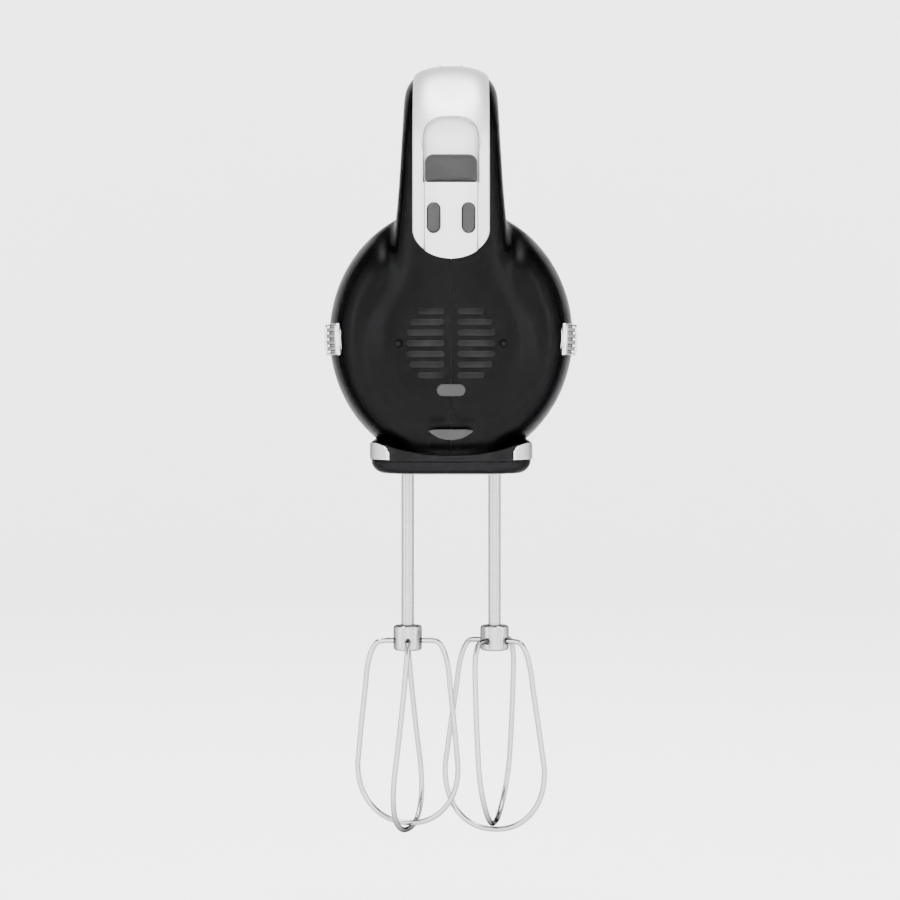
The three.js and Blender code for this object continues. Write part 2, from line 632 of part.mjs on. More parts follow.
// Worm: a single right-hand thread wound on the shaft between the two wheels.
const wormHalfLength = 2.75 * wormPitch;
const threadTop = wormPitchRadius + 0.9;
const coreRadius = wormPitchRadius - 1.15;
const threadRoot = coreRadius - 0.4;
function wormThread() {
  const turns = (2 * wormHalfLength) / wormPitch;
  const steps = Math.round(turns * 12);
  const corners = [
    [threadRoot, -0.95],
    [threadTop, -0.42],
    [threadTop, 0.42],
    [threadRoot, 0.95],
  ];
  const surface = (u, v, target) => {
    const ring = Math.round(v * (steps + 2));
    const step = Math.min(Math.max(ring - 1, 0), steps);
    const turn = ((step - steps / 2) * 2 * Math.PI) / 12;
    const open = ring === 0 || ring === steps + 2 ? 0 : 1;
    const [r, y] = corners[Math.round(u * 4) % 4];
    const radius = open ? r : (threadRoot + threadTop) / 2;
    const along = (wormPitch * turn) / (2 * Math.PI) + open * y;
    target.set(radius * Math.sin(turn), along, driveZ + radius * Math.cos(turn));
  };
  return solid(new ParametricGeometry(surface, 4, steps + 2));
}
const motorShaftRearY = stackY0 - 28;
const motorShaftFrontY = 20;
const motorShaft = rodY(motorShaftRadius, motorShaftRearY, motorShaftFrontY, 0, driveZ, 20);
const wormCore = rodY(coreRadius, -wormHalfLength, wormHalfLength, 0, driveZ, 20);
node("motor_shaft", motorShaft.add(wormCore).add(wormThread()), steel);

// Brushes in their holders on both sides of the commutator.
const brushY = commutatorY0 + 5.5;
const bracketX = statorHalfX - 1;
const holderFar = bracketX - 3.2;
for (const side of [-1, 1]) {
  const word = side < 0 ? "left" : "right";
  const near = commutatorRadius + 0.3;
  const x = (from, to) => [Math.min(side * from, side * to), Math.max(side * from, side * to)];
  const brush = box(...x(near, near + 10), brushY - 3, brushY + 3, driveZ - 2.2, driveZ + 2.2);
  const outside = box(...x(near + 1.6, holderFar), brushY - 4.4, brushY + 4.4, driveZ - 3.6, driveZ + 3.6);
  const inside = box(...x(near, holderFar - 1.4), brushY - 3.3, brushY + 3.3, driveZ - 2.5, driveZ + 2.5);
  node("brush_" + word, brush, carbon);
  node("brush_holder_" + word, outside.subtract(inside), brass);
}

// Bearings, the rear bracket and the gearbox.
const bearingRadius = 5.4;
const rearBearingY = motorShaftRearY + 2;
node("rear_bearing", rodY(bearingRadius, rearBearingY, rearBearingY + 5, 0, driveZ).subtract(throughBore), brass);
let bracket = pushY(roundedRect(0, driveZ, bracketX, 8.5, 4), rearBearingY, rearBearingY + 4, 4);
bracket = bracket.subtract(rodY(bearingRadius + gap, -120, -60, 0, driveZ));
for (const side of [-1, 1]) {
  const x0 = Math.min(side * (bracketX - 3), side * bracketX);
  bracket = bracket.add(box(x0, x0 + 3, rearBearingY + 2, stackY0 - gap, driveZ - 6, driveZ + 6));
}
node("rear_bracket", bracket, nylon);

const wheelHalfThickness = 3.6;
const boxHalfX = beaterSpacing / 2 + wheelOutside + 1.2;
const boxHalfY = gearboxHalfY - gearWall;
const gearLowZ = driveZ - 11;
const gearTopZ = driveZ + 10.4;
let gearbox = box(-boxHalfX - gearWall, boxHalfX + gearWall, -boxHalfY - gearWall, boxHalfY + gearWall, gearLowZ, gearTopZ);
gearbox = gearbox.subtract(
  box(-boxHalfX, boxHalfX, -boxHalfY, boxHalfY, gearLowZ + gearWall, gearTopZ - gearWall),
);
for (const x of socketX) {
  gearbox = gearbox.subtract(rodZ(spindleRadius + gap, gearLowZ - 5, gearTopZ + 5, x, 0));
  const window = box(x - 60, x + 60, -7, 7, driveZ - 4, driveZ + 4);
  gearbox = gearbox.subtract(window);
}
gearbox = gearbox.subtract(rodY(bearingRadius + gap, -60, 60, 0, driveZ));
node("gearbox", gearbox.intersect(bodySolid(wall + gap, 20)), nylon);
const bearingSpots = { gearbox_rear_bearing: -boxHalfY - gearWall, front_bearing: boxHalfY - 1.4 };
for (const [name, y] of Object.entries(bearingSpots)) {
  node(name, rodY(bearingRadius, y, y + gearWall + 1.4, 0, driveZ).subtract(throughBore), brass);
}

// Worm wheels: helical teeth that stand in the gaps of the worm thread on both sides.
function wormWheel(x, gapAngle) {
  const outline = new THREE.Shape();
  const root = wheelPitchRadius - 1.2;
  const pitchAngle = (2 * Math.PI) / wheelTeeth;
  for (let tooth = 0; tooth < wheelTeeth; tooth++) {
    const middle = gapAngle + (tooth + 0.5) * pitchAngle;
    const corners = [
      [root, -0.3],
      [wheelOutside, -0.12],
      [wheelOutside, 0.12],
      [root, 0.3],
    ];
    for (const [radius, share] of corners) {
      const angle = middle + share * pitchAngle;
      const go = tooth === 0 && share === -0.3 ? "moveTo" : "lineTo";
      outline[go](radius * Math.cos(angle), radius * Math.sin(angle));
    }
  }
  const depth = 2 * wheelHalfThickness;
  const geometry = new THREE.ExtrudeGeometry(outline, { depth, steps: 2, bevelEnabled: false });
  geometry.translate(0, 0, -wheelHalfThickness);
  const twist = wormPitch / (2 * Math.PI * wormPitchRadius) / wheelPitchRadius;
  const at = geometry.attributes.position;
  for (let i = 0; i < at.count; i++) {
    const turn = twist * at.getZ(i);
    const px = at.getX(i);
    const py = at.getY(i);
    at.setX(i, px * Math.cos(turn) - py * Math.sin(turn));
    at.setY(i, px * Math.sin(turn) + py * Math.cos(turn));
  }
  const wheel = solid(geometry.translate(x, 0, driveZ));
  return wheel.subtract(rodZ(spindleRadius + gap, driveZ - 20, driveZ + 20, x, 0));
}
const quarterTooth = (2 * Math.PI) / wheelTeeth / 4;
node("worm_wheel_left", wormWheel(socketX[0], -quarterTooth), nylon);
node("worm_wheel_right", wormWheel(socketX[1], Math.PI - quarterTooth), nylon);

// Spindles: tubes that carry the wheels, slotted at the lower end for the wings of the beater shafts.
const spindleBottomZ = 2.6;
const wingTopZ = 12;
const wingHalf = shaftRadius + 1.7;
for (const x of socketX) {
  const word = x < 0 ? "left" : "right";
  let spindle = rodZ(spindleRadius, spindleBottomZ, spindleTopZ, x, 0);
  spindle = spindle.add(rodZ(spindleRadius + 2, driveZ - wheelHalfThickness - 2.2, driveZ - wheelHalfThickness - gap, x, 0));
  spindle = spindle.subtract(rodZ(shaftRadius + gap, -5, spindleTopZ + 5, x, 0));
  spindle = spindle.subtract(box(x - wingHalf - gap, x + wingHalf + gap, -0.9, 0.9, -5, wingTopZ + 0.5));
  node("spindle_" + word, spindle, steel);
}

// Beater: shaft with wings, collar and two wire loops that cross under each other.
// Radius of a loop's centre line by height, from the collar out, down and round the bottom.
const wireTopZ = collarTopZ - 6;
const legShares = [0, 0.001, 0.014, 0.076, 0.192, 0.384, 0.614, 0.846, 1];
const legRadii = [0, 0.46, 0.588, 0.693, 0.774, 0.829, 0.899, 0.965, 1];
function loopCurve(centreX, startAngle, hand, lift) {
  const half = [];
  const bottomZ = whiskBottomZ + lift;
  legShares.forEach((share, i) => {
    const radius = i === 0 ? collarRadius + gap : legRadii[i] * whiskRadius;
    half.push([radius, wireTopZ + share * (whiskWidestZ - wireTopZ)]);
  });
  for (const degrees of [20, 38, 54, 68, 80]) {
    const angle = THREE.MathUtils.degToRad(degrees);
    half.push([whiskRadius * Math.cos(angle) ** 0.9, whiskWidestZ - (whiskWidestZ - bottomZ) * Math.sin(angle)]);
  }
  const points = [];
  const put = (radius, z, angle) => {
    const turned = angle + hand * whiskTwistPerMm * (wireTopZ - z);
    points.push(new THREE.Vector3(centreX + radius * Math.cos(turned), radius * Math.sin(turned), z));
  };
  half.forEach(([radius, z]) => put(radius, z, startAngle));
  put(0, bottomZ, startAngle);
  half.reverse().forEach(([radius, z]) => put(radius, z, startAngle + Math.PI));
  return new THREE.CatmullRomCurve3(points, false, "centripetal");
}
function wireLoop(curve) {
  const section = new THREE.Shape().absarc(0, 0, wireRadius, 0, 2 * Math.PI);
  return solid(new THREE.ExtrudeGeometry(section, { steps: 42, curveSegments: 4, extrudePath: curve }));
}
const beaters = [
  { word: "left", x: socketX[0], first: 1.3, hand: -1, lower: "b" },
  { word: "right", x: socketX[1], first: -32.4, hand: 1, lower: "a" },
];
for (const { word, x, first, hand, lower } of beaters) {
  let shaft = rodZ(shaftRadius, collarTopZ - 3, beaterTopZ, x, 0);
  shaft = shaft.add(box(x - wingHalf, x + wingHalf, -0.6, 0.6, 4, wingTopZ));
  node("beater_shaft_" + word, shaft, steel);
  const profile = [
    [0, collarTopZ - collarHeight],
    [collarRadius - 0.8, collarTopZ - collarHeight],
    [collarRadius, collarTopZ - collarHeight + 0.8],
    [collarRadius, collarTopZ - 0.8],
    [collarRadius - 0.8, collarTopZ],
    [0, collarTopZ],
  ].map(([r, z]) => new THREE.Vector2(r, z));
  const collar = solid(new THREE.LatheGeometry(profile, 24).rotateX(Math.PI / 2).translate(x, 0, 0));
  node("beater_collar_" + word, collar.subtract(rodZ(shaftRadius + gap, collarTopZ - 3 - gap, 0, x, 0)), steel);
  for (const letter of ["a", "b"]) {
    const degrees = first + (letter === "b" ? 90 : 0);
    const lift = letter === lower ? 0 : 2 * wireRadius + 0.45;
    const curve = loopCurve(x, THREE.MathUtils.degToRad(degrees), hand, lift);
    node("whisk_loop_" + word + "_" + letter, wireLoop(curve), steel);
  }
}

export default group;
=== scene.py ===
# %% [markdown]
# # A hand mixer seen from behind
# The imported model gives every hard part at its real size. This lesson dresses it: smooth shells in place of
# faceted ones, fine wires, and a finish for each material. Lengths are worked out in millimetres and stored
# in metres.

# %% Load the frame
import json
import bpy
import numpy as np
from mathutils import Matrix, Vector


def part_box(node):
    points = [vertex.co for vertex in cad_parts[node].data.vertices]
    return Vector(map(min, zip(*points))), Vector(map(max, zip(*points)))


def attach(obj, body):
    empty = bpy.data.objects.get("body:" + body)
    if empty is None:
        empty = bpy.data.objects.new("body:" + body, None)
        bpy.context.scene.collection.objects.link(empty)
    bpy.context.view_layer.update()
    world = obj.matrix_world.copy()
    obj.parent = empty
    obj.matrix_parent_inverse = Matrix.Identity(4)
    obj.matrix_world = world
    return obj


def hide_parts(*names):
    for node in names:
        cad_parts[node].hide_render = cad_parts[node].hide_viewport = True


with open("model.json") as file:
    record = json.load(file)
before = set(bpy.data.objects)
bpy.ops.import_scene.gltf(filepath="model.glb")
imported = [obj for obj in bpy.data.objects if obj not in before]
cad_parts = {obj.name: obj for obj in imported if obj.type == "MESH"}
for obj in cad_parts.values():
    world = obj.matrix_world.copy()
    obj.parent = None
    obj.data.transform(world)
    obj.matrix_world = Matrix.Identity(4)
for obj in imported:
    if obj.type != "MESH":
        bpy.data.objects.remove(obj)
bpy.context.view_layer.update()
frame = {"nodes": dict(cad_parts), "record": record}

MM = 0.001
scene = bpy.context.scene


def node_box(node):
    """Lowest corner, highest corner and middle of a CAD node, in millimetres to a hundredth."""
    low, high = (np.array(corner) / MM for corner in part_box(node))
    return np.round(low, 2), np.round(high, 2), np.round((low + high) / 2, 2)


BEATER_X = node_box("beater_shaft_right")[2][0]
PLUG_X, _, VENT_Z = node_box("plug_right")[2]
FOOT_X, _, FEET_Z = node_box("heel_foot_right")[2]
LOWER_FOOT_Z = node_box("lower_rear_foot")[2][2]
GLAND_Z = node_box("cord_gland")[2][2]
BADGE_Z = node_box("side_badge_right")[2][2]
TURBO_Z, TURBO_FACE = node_box("turbo_button")[2][2], node_box("turbo_button")[1][1]
print("beaters at x", BEATER_X, "vents at z", VENT_Z, "heel feet at", FOOT_X, FEET_Z, "gland at z", GLAND_Z)

# %% [markdown]
# ## Camera
# The mixer is seen from straight behind, level, through a long lens. Verticals stay parallel because the
# camera is not tilted: a small vertical shift of the lens lowers the view instead.

# %% Camera
LENS, SENSOR = 109.16, 36.0
SHIFT_X, SHIFT_Y = -0.0012, -0.0744
CAMERA_AWAY, CAMERA_HEIGHT = 1.050, 0.033
camera_data = bpy.data.cameras.new("camera")
camera_data.lens = LENS
camera_data.sensor_width = SENSOR
camera_data.shift_x = SHIFT_X
camera_data.shift_y = SHIFT_Y
camera = bpy.data.objects.new("camera", camera_data)
camera.location = (0.0, -CAMERA_AWAY, CAMERA_HEIGHT)
camera.rotation_euler = (np.pi / 2, 0.0, 0.0)
scene.collection.objects.link(camera)
scene.camera = camera
print("camera", tuple(camera.location), "lens", LENS)

# %% [markdown]
# ## Node groups
# Moulded plastic is never perfectly smooth: fine grain breaks up its reflections. Brushed metal has long
# scratches in one direction. Each material could hold its own noise, but both effects are used by many, so
# they are shared node groups that give a bump normal and a change of roughness. Each material sets their
# scale, height and spread.

# %% Shared effects
def group_with(name, inputs, outputs):
    """An empty node group with the given float inputs (name, default) and outputs (name, socket type)."""
    tree = bpy.data.node_groups.new(name, "ShaderNodeTree")
    for label, default in inputs:
        socket = tree.interface.new_socket(name=label, in_out="INPUT", socket_type="NodeSocketFloat")
        socket.default_value = default
    for label, kind in outputs:
        tree.interface.new_socket(name=label, in_out="OUTPUT", socket_type=kind)
    return tree, tree.nodes.new("NodeGroupInput"), tree.nodes.new("NodeGroupOutput")


def add(tree, kind, **values):
    """A new shader node of a kind, with the given inputs set."""
    node = tree.nodes.new("ShaderNode" + kind)
    for label, value in values.items():
        node.inputs[label].default_value = value
    return node


def add_math(tree, operation, second=0.5):
    """A math node whose second input starts at a value."""
    node = tree.nodes.new("ShaderNodeMath")
    node.operation = operation
    node.inputs[1].default_value = second
    return node


def effect_ends(tree, inside, outside, relief, change, distance):
    """The end that both effects share: a bump normal from the noise called relief, and a roughness offset
    about zero, Spread * (change - 1/2), from the noise called change."""
    bump = add(tree, "Bump", Distance=distance)
    centred = add_math(tree, "SUBTRACT")
    offset = add_math(tree, "MULTIPLY")
    link = tree.links.new
    link(relief.outputs["Fac"], bump.inputs["Height"])
    link(inside.outputs["Height"], bump.inputs["Strength"])
    link(change.outputs["Fac"], centred.inputs[0])
    link(centred.outputs[0], offset.inputs[0])
    link(inside.outputs["Spread"], offset.inputs[1])
    link(bump.outputs["Normal"], outside.inputs["Normal"])
    link(offset.outputs[0], outside.inputs["Offset"])


EFFECT_OUTPUTS = [("Normal", "NodeSocketVector"), ("Offset", "NodeSocketFloat")]


def make_grain():
    """Fine moulded grain: noise at a chosen scale for the bump, and a broad noise for the roughness."""
    tree, inside, outside = group_with(
        "moulded_grain", [("Scale", 900.0), ("Height", 0.02), ("Spread", 0.05)], EFFECT_OUTPUTS)
    place = add(tree, "TexCoord")
    fine = add(tree, "TexNoise", Detail=3.0)
    broad = add(tree, "TexNoise", Scale=35.0)
    tree.links.new(place.outputs["Object"], fine.inputs["Vector"])
    tree.links.new(place.outputs["Object"], broad.inputs["Vector"])
    tree.links.new(inside.outputs["Scale"], fine.inputs["Scale"])
    effect_ends(tree, inside, outside, fine, broad, 0.0004)
    return tree


def make_brushed():
    """Brushed metal: one noise, stretched by its own scale along each axis, for both bump and roughness."""
    tree, inside, outside = group_with(
        "brushed_metal",
        [("Along X", 40.0), ("Along Y", 900.0), ("Along Z", 900.0), ("Height", 0.05), ("Spread", 0.1)],
        EFFECT_OUTPUTS)
    place = add(tree, "TexCoord")
    stretch = add(tree, "CombineXYZ")
    scaled = tree.nodes.new("ShaderNodeVectorMath")
    scaled.operation = "MULTIPLY"
    scratches = add(tree, "TexNoise", Scale=1.0, Detail=4.0)
    for axis in "XYZ":
        tree.links.new(inside.outputs["Along " + axis], stretch.inputs[axis])
    tree.links.new(place.outputs["Object"], scaled.inputs[0])
    tree.links.new(stretch.outputs["Vector"], scaled.inputs[1])
    tree.links.new(scaled.outputs["Vector"], scratches.inputs["Vector"])
    effect_ends(tree, inside, outside, scratches, scratches, 0.0003)
    return tree


GRAIN = make_grain()
BRUSHED = make_brushed()
print("node groups", GRAIN.name, BRUSHED.name)

# %% [markdown]
# ## Materials
# The real mixer has few finishes: glossy and satin black mouldings, a satin silver strip, plated trims,
# bright wire, and rubber, plastic, copper and steel inside. They could be separate node trees, but one
# function turns each row of values into a tree, so all finishes share one structure and differ only in
# numbers. The black mouldings use the metallic model with a near-black colour, because its edge reflection
# can be set: a plain black plastic would mirror the pale room at its edges and lose its outline. The bright
# metals have their base colour darkened where they turn away, a painted reflection of a dark room beside a
# light one. The dark moulding has its sharp edges painted lighter, a painted highlight.

# %% Materials
def add_mix(tree, first, second):
    """A colour mix of two plain colours."""
    node = tree.nodes.new("ShaderNodeMix")
    node.data_type = "RGBA"
    node.inputs["A"].default_value = list(first) + [1.0]
    node.inputs["B"].default_value = list(second) + [1.0]
    return node


def finish(name, colour, rough, metallic=0.0, grain=(900.0, 0.02, 0.04), brushed=None, coat=0.0, edge=0.0,
           ior=1.5, rim=1.0, turned=0.0, tint=0.06):
    """Principled material: broad colour drift of plus or minus tint, and roughness and bump from a shared
    effect, whose inputs are grain or brushed. If edge > 0, sharp edges get a painted highlight: their
    colour is painted lighter, by a share of up to edge. rim is the brightness of the reflection where a
    surface turns away, and turned is the share by which the base colour is darkened there, a painted
    reflection of a dark surround."""
    material = bpy.data.materials.new(name)
    material.use_nodes = True
    tree = material.node_tree
    link = tree.links.new
    shader = tree.nodes["Principled BSDF"]
    shader.inputs["Metallic"].default_value = metallic
    shader.inputs["IOR"].default_value = ior
    shader.inputs["Specular Tint"].default_value = (rim, rim, rim, 1.0)
    shader.inputs["Coat Weight"].default_value = coat
    shader.inputs["Coat Roughness"].default_value = 0.12
    place = add(tree, "TexCoord")
    drift = add(tree, "TexNoise", Scale=22.0, Detail=4.0)
    mixed = add_mix(tree, [c * (1 - tint) for c in colour], [min(1.0, c * (1 + tint)) for c in colour])
    link(place.outputs["Object"], drift.inputs["Vector"])
    link(drift.outputs["Fac"], mixed.inputs["Factor"])
    # Painted highlight: sharp edges, found by pointiness, are painted lighter.
    if edge > 0:
        geometry = tree.nodes.new("ShaderNodeNewGeometry")
        painted_edge_highlight = tree.nodes.new("ShaderNodeMapRange")
        painted_edge_highlight.inputs["From Min"].default_value = 0.53
        painted_edge_highlight.inputs["From Max"].default_value = 0.62
        painted_edge_highlight.inputs["To Max"].default_value = edge
        lighter = add_mix(tree, colour, [min(1.0, c * 1.8 + 0.03) for c in colour])
        link(geometry.outputs["Pointiness"], painted_edge_highlight.inputs["Value"])
        link(painted_edge_highlight.outputs["Result"], lighter.inputs["Factor"])
        link(mixed.outputs["Result"], lighter.inputs["A"])
        mixed = lighter
    # Painted reflection: the base colour is darkened by the share turned where the surface turns from the
    # view, as a mirrored dark surround would look.
    if turned > 0:
        facing = add(tree, "LayerWeight", Blend=0.62)
        painted_turn_shade = add_mix(tree, colour, [c * (1 - turned) for c in colour])
        link(facing.outputs["Facing"], painted_turn_shade.inputs["Factor"])
        link(mixed.outputs["Result"], painted_turn_shade.inputs["A"])
        mixed = painted_turn_shade
    link(mixed.outputs["Result"], shader.inputs["Base Color"])
    effect = tree.nodes.new("ShaderNodeGroup")
    effect.node_tree = BRUSHED if brushed else GRAIN
    scales = ("Along X", "Along Y", "Along Z") if brushed else ("Scale",)
    for label, value in zip(scales + ("Height", "Spread"), brushed or grain):
        effect.inputs[label].default_value = value
    roughness = add_math(tree, "ADD", rough)
    roughness.use_clamp = True
    link(effect.outputs["Offset"], roughness.inputs[0])
    link(roughness.outputs[0], shader.inputs["Roughness"])
    link(effect.outputs["Normal"], shader.inputs["Normal"])
    return material


SHELL = finish("shell_black", (0.0062, 0.0062, 0.0065), 0.36, 1.0, grain=(1500.0, 0.012, 0.05), rim=0.42)
BAND = finish("base_black", (0.01, 0.01, 0.0105), 0.42, 1.0, grain=(1200.0, 0.03, 0.05), rim=0.45)
# turned paints the colours of the bright finishes below darkened where they turn away: a painted reflection.
SILVER = finish("satin_silver", (0.70, 0.70, 0.70), 0.4, 0.45, brushed=(14.0, 60.0, 1500.0, 0.02, 0.08),
                turned=0.8, tint=0.01)
CHROME = finish("chrome_plate", (0.64, 0.64, 0.65), 0.1, 1.0, grain=(300.0, 0.004, 0.02),
                rim=0.35, turned=0.75, tint=0.02)
STEEL = finish("wire_steel", (0.45, 0.45, 0.445), 0.22, 1.0, brushed=(500.0, 500.0, 40.0, 0.004, 0.03),
               rim=0.2, turned=0.93, tint=0.03)
SHAFT = finish("turned_steel", (0.44, 0.44, 0.435), 0.27, 1.0, brushed=(60.0, 60.0, 2400.0, 0.006, 0.04),
               rim=0.2, turned=0.88, tint=0.03)
RUBBER = finish("foot_rubber", (0.012, 0.012, 0.012), 0.6, grain=(2200.0, 0.15, 0.1))
COVER = finish("outlet_grey", (0.014, 0.014, 0.0145), 0.36, grain=(1500.0, 0.02, 0.05), ior=1.35)
SMOKED = finish("smoked_window", (0.006, 0.006, 0.008), 0.04, grain=(200.0, 0.002, 0.01), coat=1.0)
NYLON = finish("nylon", (0.74, 0.71, 0.60), 0.45, grain=(1400.0, 0.05, 0.06))
COPPER = finish("winding_copper", (0.60, 0.24, 0.10), 0.3, 0.9, brushed=(1500.0, 60.0, 60.0, 0.4, 0.15))
SHEETS = finish("stacked_steel", (0.20, 0.205, 0.22), 0.4, 0.9, brushed=(20.0, 2600.0, 20.0, 0.5, 0.15))
BRASS = finish("brass_plain", (0.62, 0.46, 0.19), 0.28, 1.0, brushed=(60.0, 900.0, 900.0, 0.05, 0.1))
CARBON = finish("carbon_block", (0.02, 0.02, 0.021), 0.6, grain=(2600.0, 0.2, 0.1))
BOARD = finish("circuit_board", (0.03, 0.12, 0.05), 0.35, grain=(900.0, 0.05, 0.05))
SCREEN = finish("filter_mesh", (0.055, 0.055, 0.055), 0.7, grain=(2600.0, 0.5, 0.1))
# edge paints a highlight on this moulding's sharp edges.
GREY = finish("dark_moulding", (0.05, 0.05, 0.052), 0.42, grain=(1400.0, 0.05, 0.06), edge=0.3)
BY_SLOT = {
    "black_gloss": SHELL, "black_satin": BAND, "silver_satin": SILVER, "chrome": CHROME, "steel": SHAFT,
    "rubber": RUBBER, "dark_plastic": GREY, "copper": COPPER, "lamination": SHEETS, "brass": BRASS,
    "carbon": CARBON, "nylon": NYLON, "board": BOARD, "smoked": SMOKED}
for part in frame["record"]["subparts"]:
    node = frame["nodes"][part["node"]]
    node.data.materials.clear()
    node.data.materials.append(BY_SLOT[part["material_slot"]])
print("finishes", len(BY_SLOT))

# %% [markdown]
# ## Meshes from arrays
# Every new piece is a grid of points computed by numpy and handed to Blender in one call. Its columns run
# round the piece and close on themselves, and a fan of triangles closes each end row, so no piece is open.

# %% Mesh helpers
def grid_faces(rows, cols):
    """Quads between neighbouring points of a rows x cols grid, with the last column joined to the first."""
    a, b = np.meshgrid(np.arange(rows - 1), np.arange(cols), indexing="ij")
    row, next_row, after = a * cols, (a + 1) * cols, (b + 1) % cols
    return np.stack([row + b, row + after, next_row + after, next_row + b], -1).reshape(-1, 4)


def signed_volume(points, faces):
    """Six times the volume under the quads, positive when they face outward."""
    p = points[faces]
    first = np.einsum("ij,ij->i", p[:, 0], np.cross(p[:, 1], p[:, 2]))
    return (first + np.einsum("ij,ij->i", p[:, 0], np.cross(p[:, 2], p[:, 3]))).sum()


def mesh_piece(name, points, face_sets, material, body, nodes=(), flip=False, sharp=None):
    """A smooth mesh object from points in millimetres and arrays of quads or triangles, riding on a body."""
    mesh = bpy.data.meshes.new(name)
    face_sets = [np.asarray(f)[:, ::-1] if flip else np.asarray(f) for f in face_sets]
    corners = np.concatenate([f.ravel() for f in face_sets]).astype(np.int32)
    sizes = np.concatenate([np.full(len(f), f.shape[1]) for f in face_sets])
    mesh.vertices.add(len(points))
    mesh.vertices.foreach_set("co", (np.asarray(points) * MM).astype(np.float32).ravel())
    mesh.loops.add(len(corners))
    mesh.loops.foreach_set("vertex_index", corners)
    mesh.polygons.add(len(sizes))
    mesh.polygons.foreach_set("loop_start", (np.cumsum(sizes) - sizes).astype(np.int32))
    mesh.update(calc_edges=True)
    mesh.validate()
    mesh.polygons.foreach_set("use_smooth", np.full(len(mesh.polygons), True))
    mesh.materials.append(material)
    piece = bpy.data.objects.new(name, mesh)
    scene.collection.objects.link(piece)
    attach(piece, body)
    if nodes:
        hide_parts(*nodes)
    if sharp:
        crease(piece, sharp)
    return piece


def grid_piece(name, grid, material, body, nodes=(), sharp=None):
    """A grid [rows, cols, 3] closed round its columns; the end rows are closed by a fan to their middle."""
    rows, cols, _ = grid.shape
    points = grid.reshape(-1, 3)
    quads = grid_faces(rows, cols)
    flip = signed_volume(points, quads) < 0
    points = np.vstack([points, grid[0].mean(0), grid[-1].mean(0)])
    here = np.arange(cols)
    after = (here + 1) % cols
    last_row = (rows - 1) * cols
    first = np.stack([np.full(cols, rows * cols), after, here], -1)
    last = np.stack([np.full(cols, rows * cols + 1), last_row + here, last_row + after], -1)
    faces = [quads, np.vstack([first, last])]
    return mesh_piece(name, points, faces, material, body, nodes, flip, sharp)


def crease(piece, degrees):
    """Marks edges sharper than an angle, so that smooth shading stops at them."""
    piece.data.set_sharp_from_angle(angle=np.radians(degrees))


def smoothstep(x):
    """0 below 0, 1 above 1, and 3x^2 - 2x^3 between."""
    x = np.clip(x, 0.0, 1.0)
    return x * x * (3 - 2 * x)


print("helpers ready")

# %% [markdown]
# ## The two master curves
# The body is a bullet: a profile turned about the motor axis and made slightly taller than wide. The handle
# is a rounded section carried along a line that climbs the heel, runs over the top and comes down at the
# front. Both are Catmull-Rom curves through a few stations, so each is smooth and easy to adjust.

# %% Master curves
def catmull(stations, count, place=2):
    """Centripetal Catmull-Rom curve through stations [n, k] as count points, the same number for each span.
    Spans are weighed by the distance between stations in their first `place` columns."""
    s = np.asarray(stations, float)
    s = np.vstack([2 * s[0] - s[1], s, 2 * s[-1] - s[-2]])
    at = np.linspace(0, len(s) - 3, count)
    span = np.minimum(at.astype(int), len(s) - 4)
    w = (at - span)[:, None]
    p0, p1, p2, p3 = s[span], s[span + 1], s[span + 2], s[span + 3]
    gap = lambda a, b: np.maximum(np.linalg.norm(a[:, :place] - b[:, :place], axis=1) ** 0.5, 1e-4)[:, None]
    d0, d1, d2 = gap(p1, p0), gap(p2, p1), gap(p3, p2)
    t1 = ((p1 - p0) / d0 - (p2 - p0) / (d0 + d1) + (p2 - p1) / d1) * d1
    t2 = ((p2 - p1) / d1 - (p3 - p1) / (d1 + d2) + (p3 - p2) / d2) * d1
    return p1 + t1 * w + (-3 * p1 + 3 * p2 - 2 * t1 - t2) * w ** 2 + (2 * p1 - 2 * p2 + t1 + t2) * w ** 3


HALF_W, HALF_H, CENTRE_Z = node_box("right_housing")[1][0], 47.4, 50.2
REAR_Y, NOSE_Y = -97.5, 92.0
TALL = HALF_H / HALF_W
# Each station of the profile is a share of the body's length and a share of its half width.
PROFILE = np.array([
    [0, 0], [0.003, 0.3], [0.011, 0.54], [0.031, 0.74], [0.07, 0.88], [0.124, 0.962], [0.21, 1], [0.5, 1],
    [0.64, 0.975], [0.77, 0.9], [0.87, 0.77], [0.945, 0.56], [0.985, 0.31], [1, 0]])
profile = np.stack([REAR_Y + PROFILE[:, 0] * (NOSE_Y - REAR_Y), PROFILE[:, 1] * HALF_W], 1)
mirrored = np.vstack([profile[1] * [1, -1], profile, profile[-2] * [1, -1]])
body_line = catmull(mirrored, 900)
body_line = body_line[body_line[:, 1] >= -1e-9]
body_line[:, 1] = np.minimum(body_line[:, 1], HALF_W)

GRIP_Z, GRIP_W, GRIP_T = 136.4, 17.0, 12.8
HANDLE_STEPS = 1400
# Each station of the handle is its y and z, and the half width and half thickness of its section.
HANDLE = np.array([[-78, CENTRE_Z + 2, GRIP_W + 7, 16], [-81.5, CENTRE_Z + 24, GRIP_W + 4.5, 17],
                   [-84.5, GRIP_Z - 40, GRIP_W + 2, 16.6], [-83, GRIP_Z - 20, GRIP_W + 0.6, 15.8],
                   [-71, GRIP_Z - 5.8, GRIP_W, 14], [-42, GRIP_Z - 2.2, GRIP_W - 0.2, GRIP_T],
                   [-8, GRIP_Z + 1.8, GRIP_W, GRIP_T], [20, GRIP_Z + 4, GRIP_W + 0.5, GRIP_T + 0.8],
                   [41, GRIP_Z - 4, GRIP_W + 0.5, GRIP_T + 1.4], [50, GRIP_Z - 23, GRIP_W + 1, GRIP_T + 1.4],
                   [50, GRIP_Z - 46, GRIP_W + 4, GRIP_T + 2], [46, CENTRE_Z + 16, GRIP_W + 7, GRIP_T + 3]])
POWER = 2.7
handle_line = catmull(HANDLE, HANDLE_STEPS + 1)
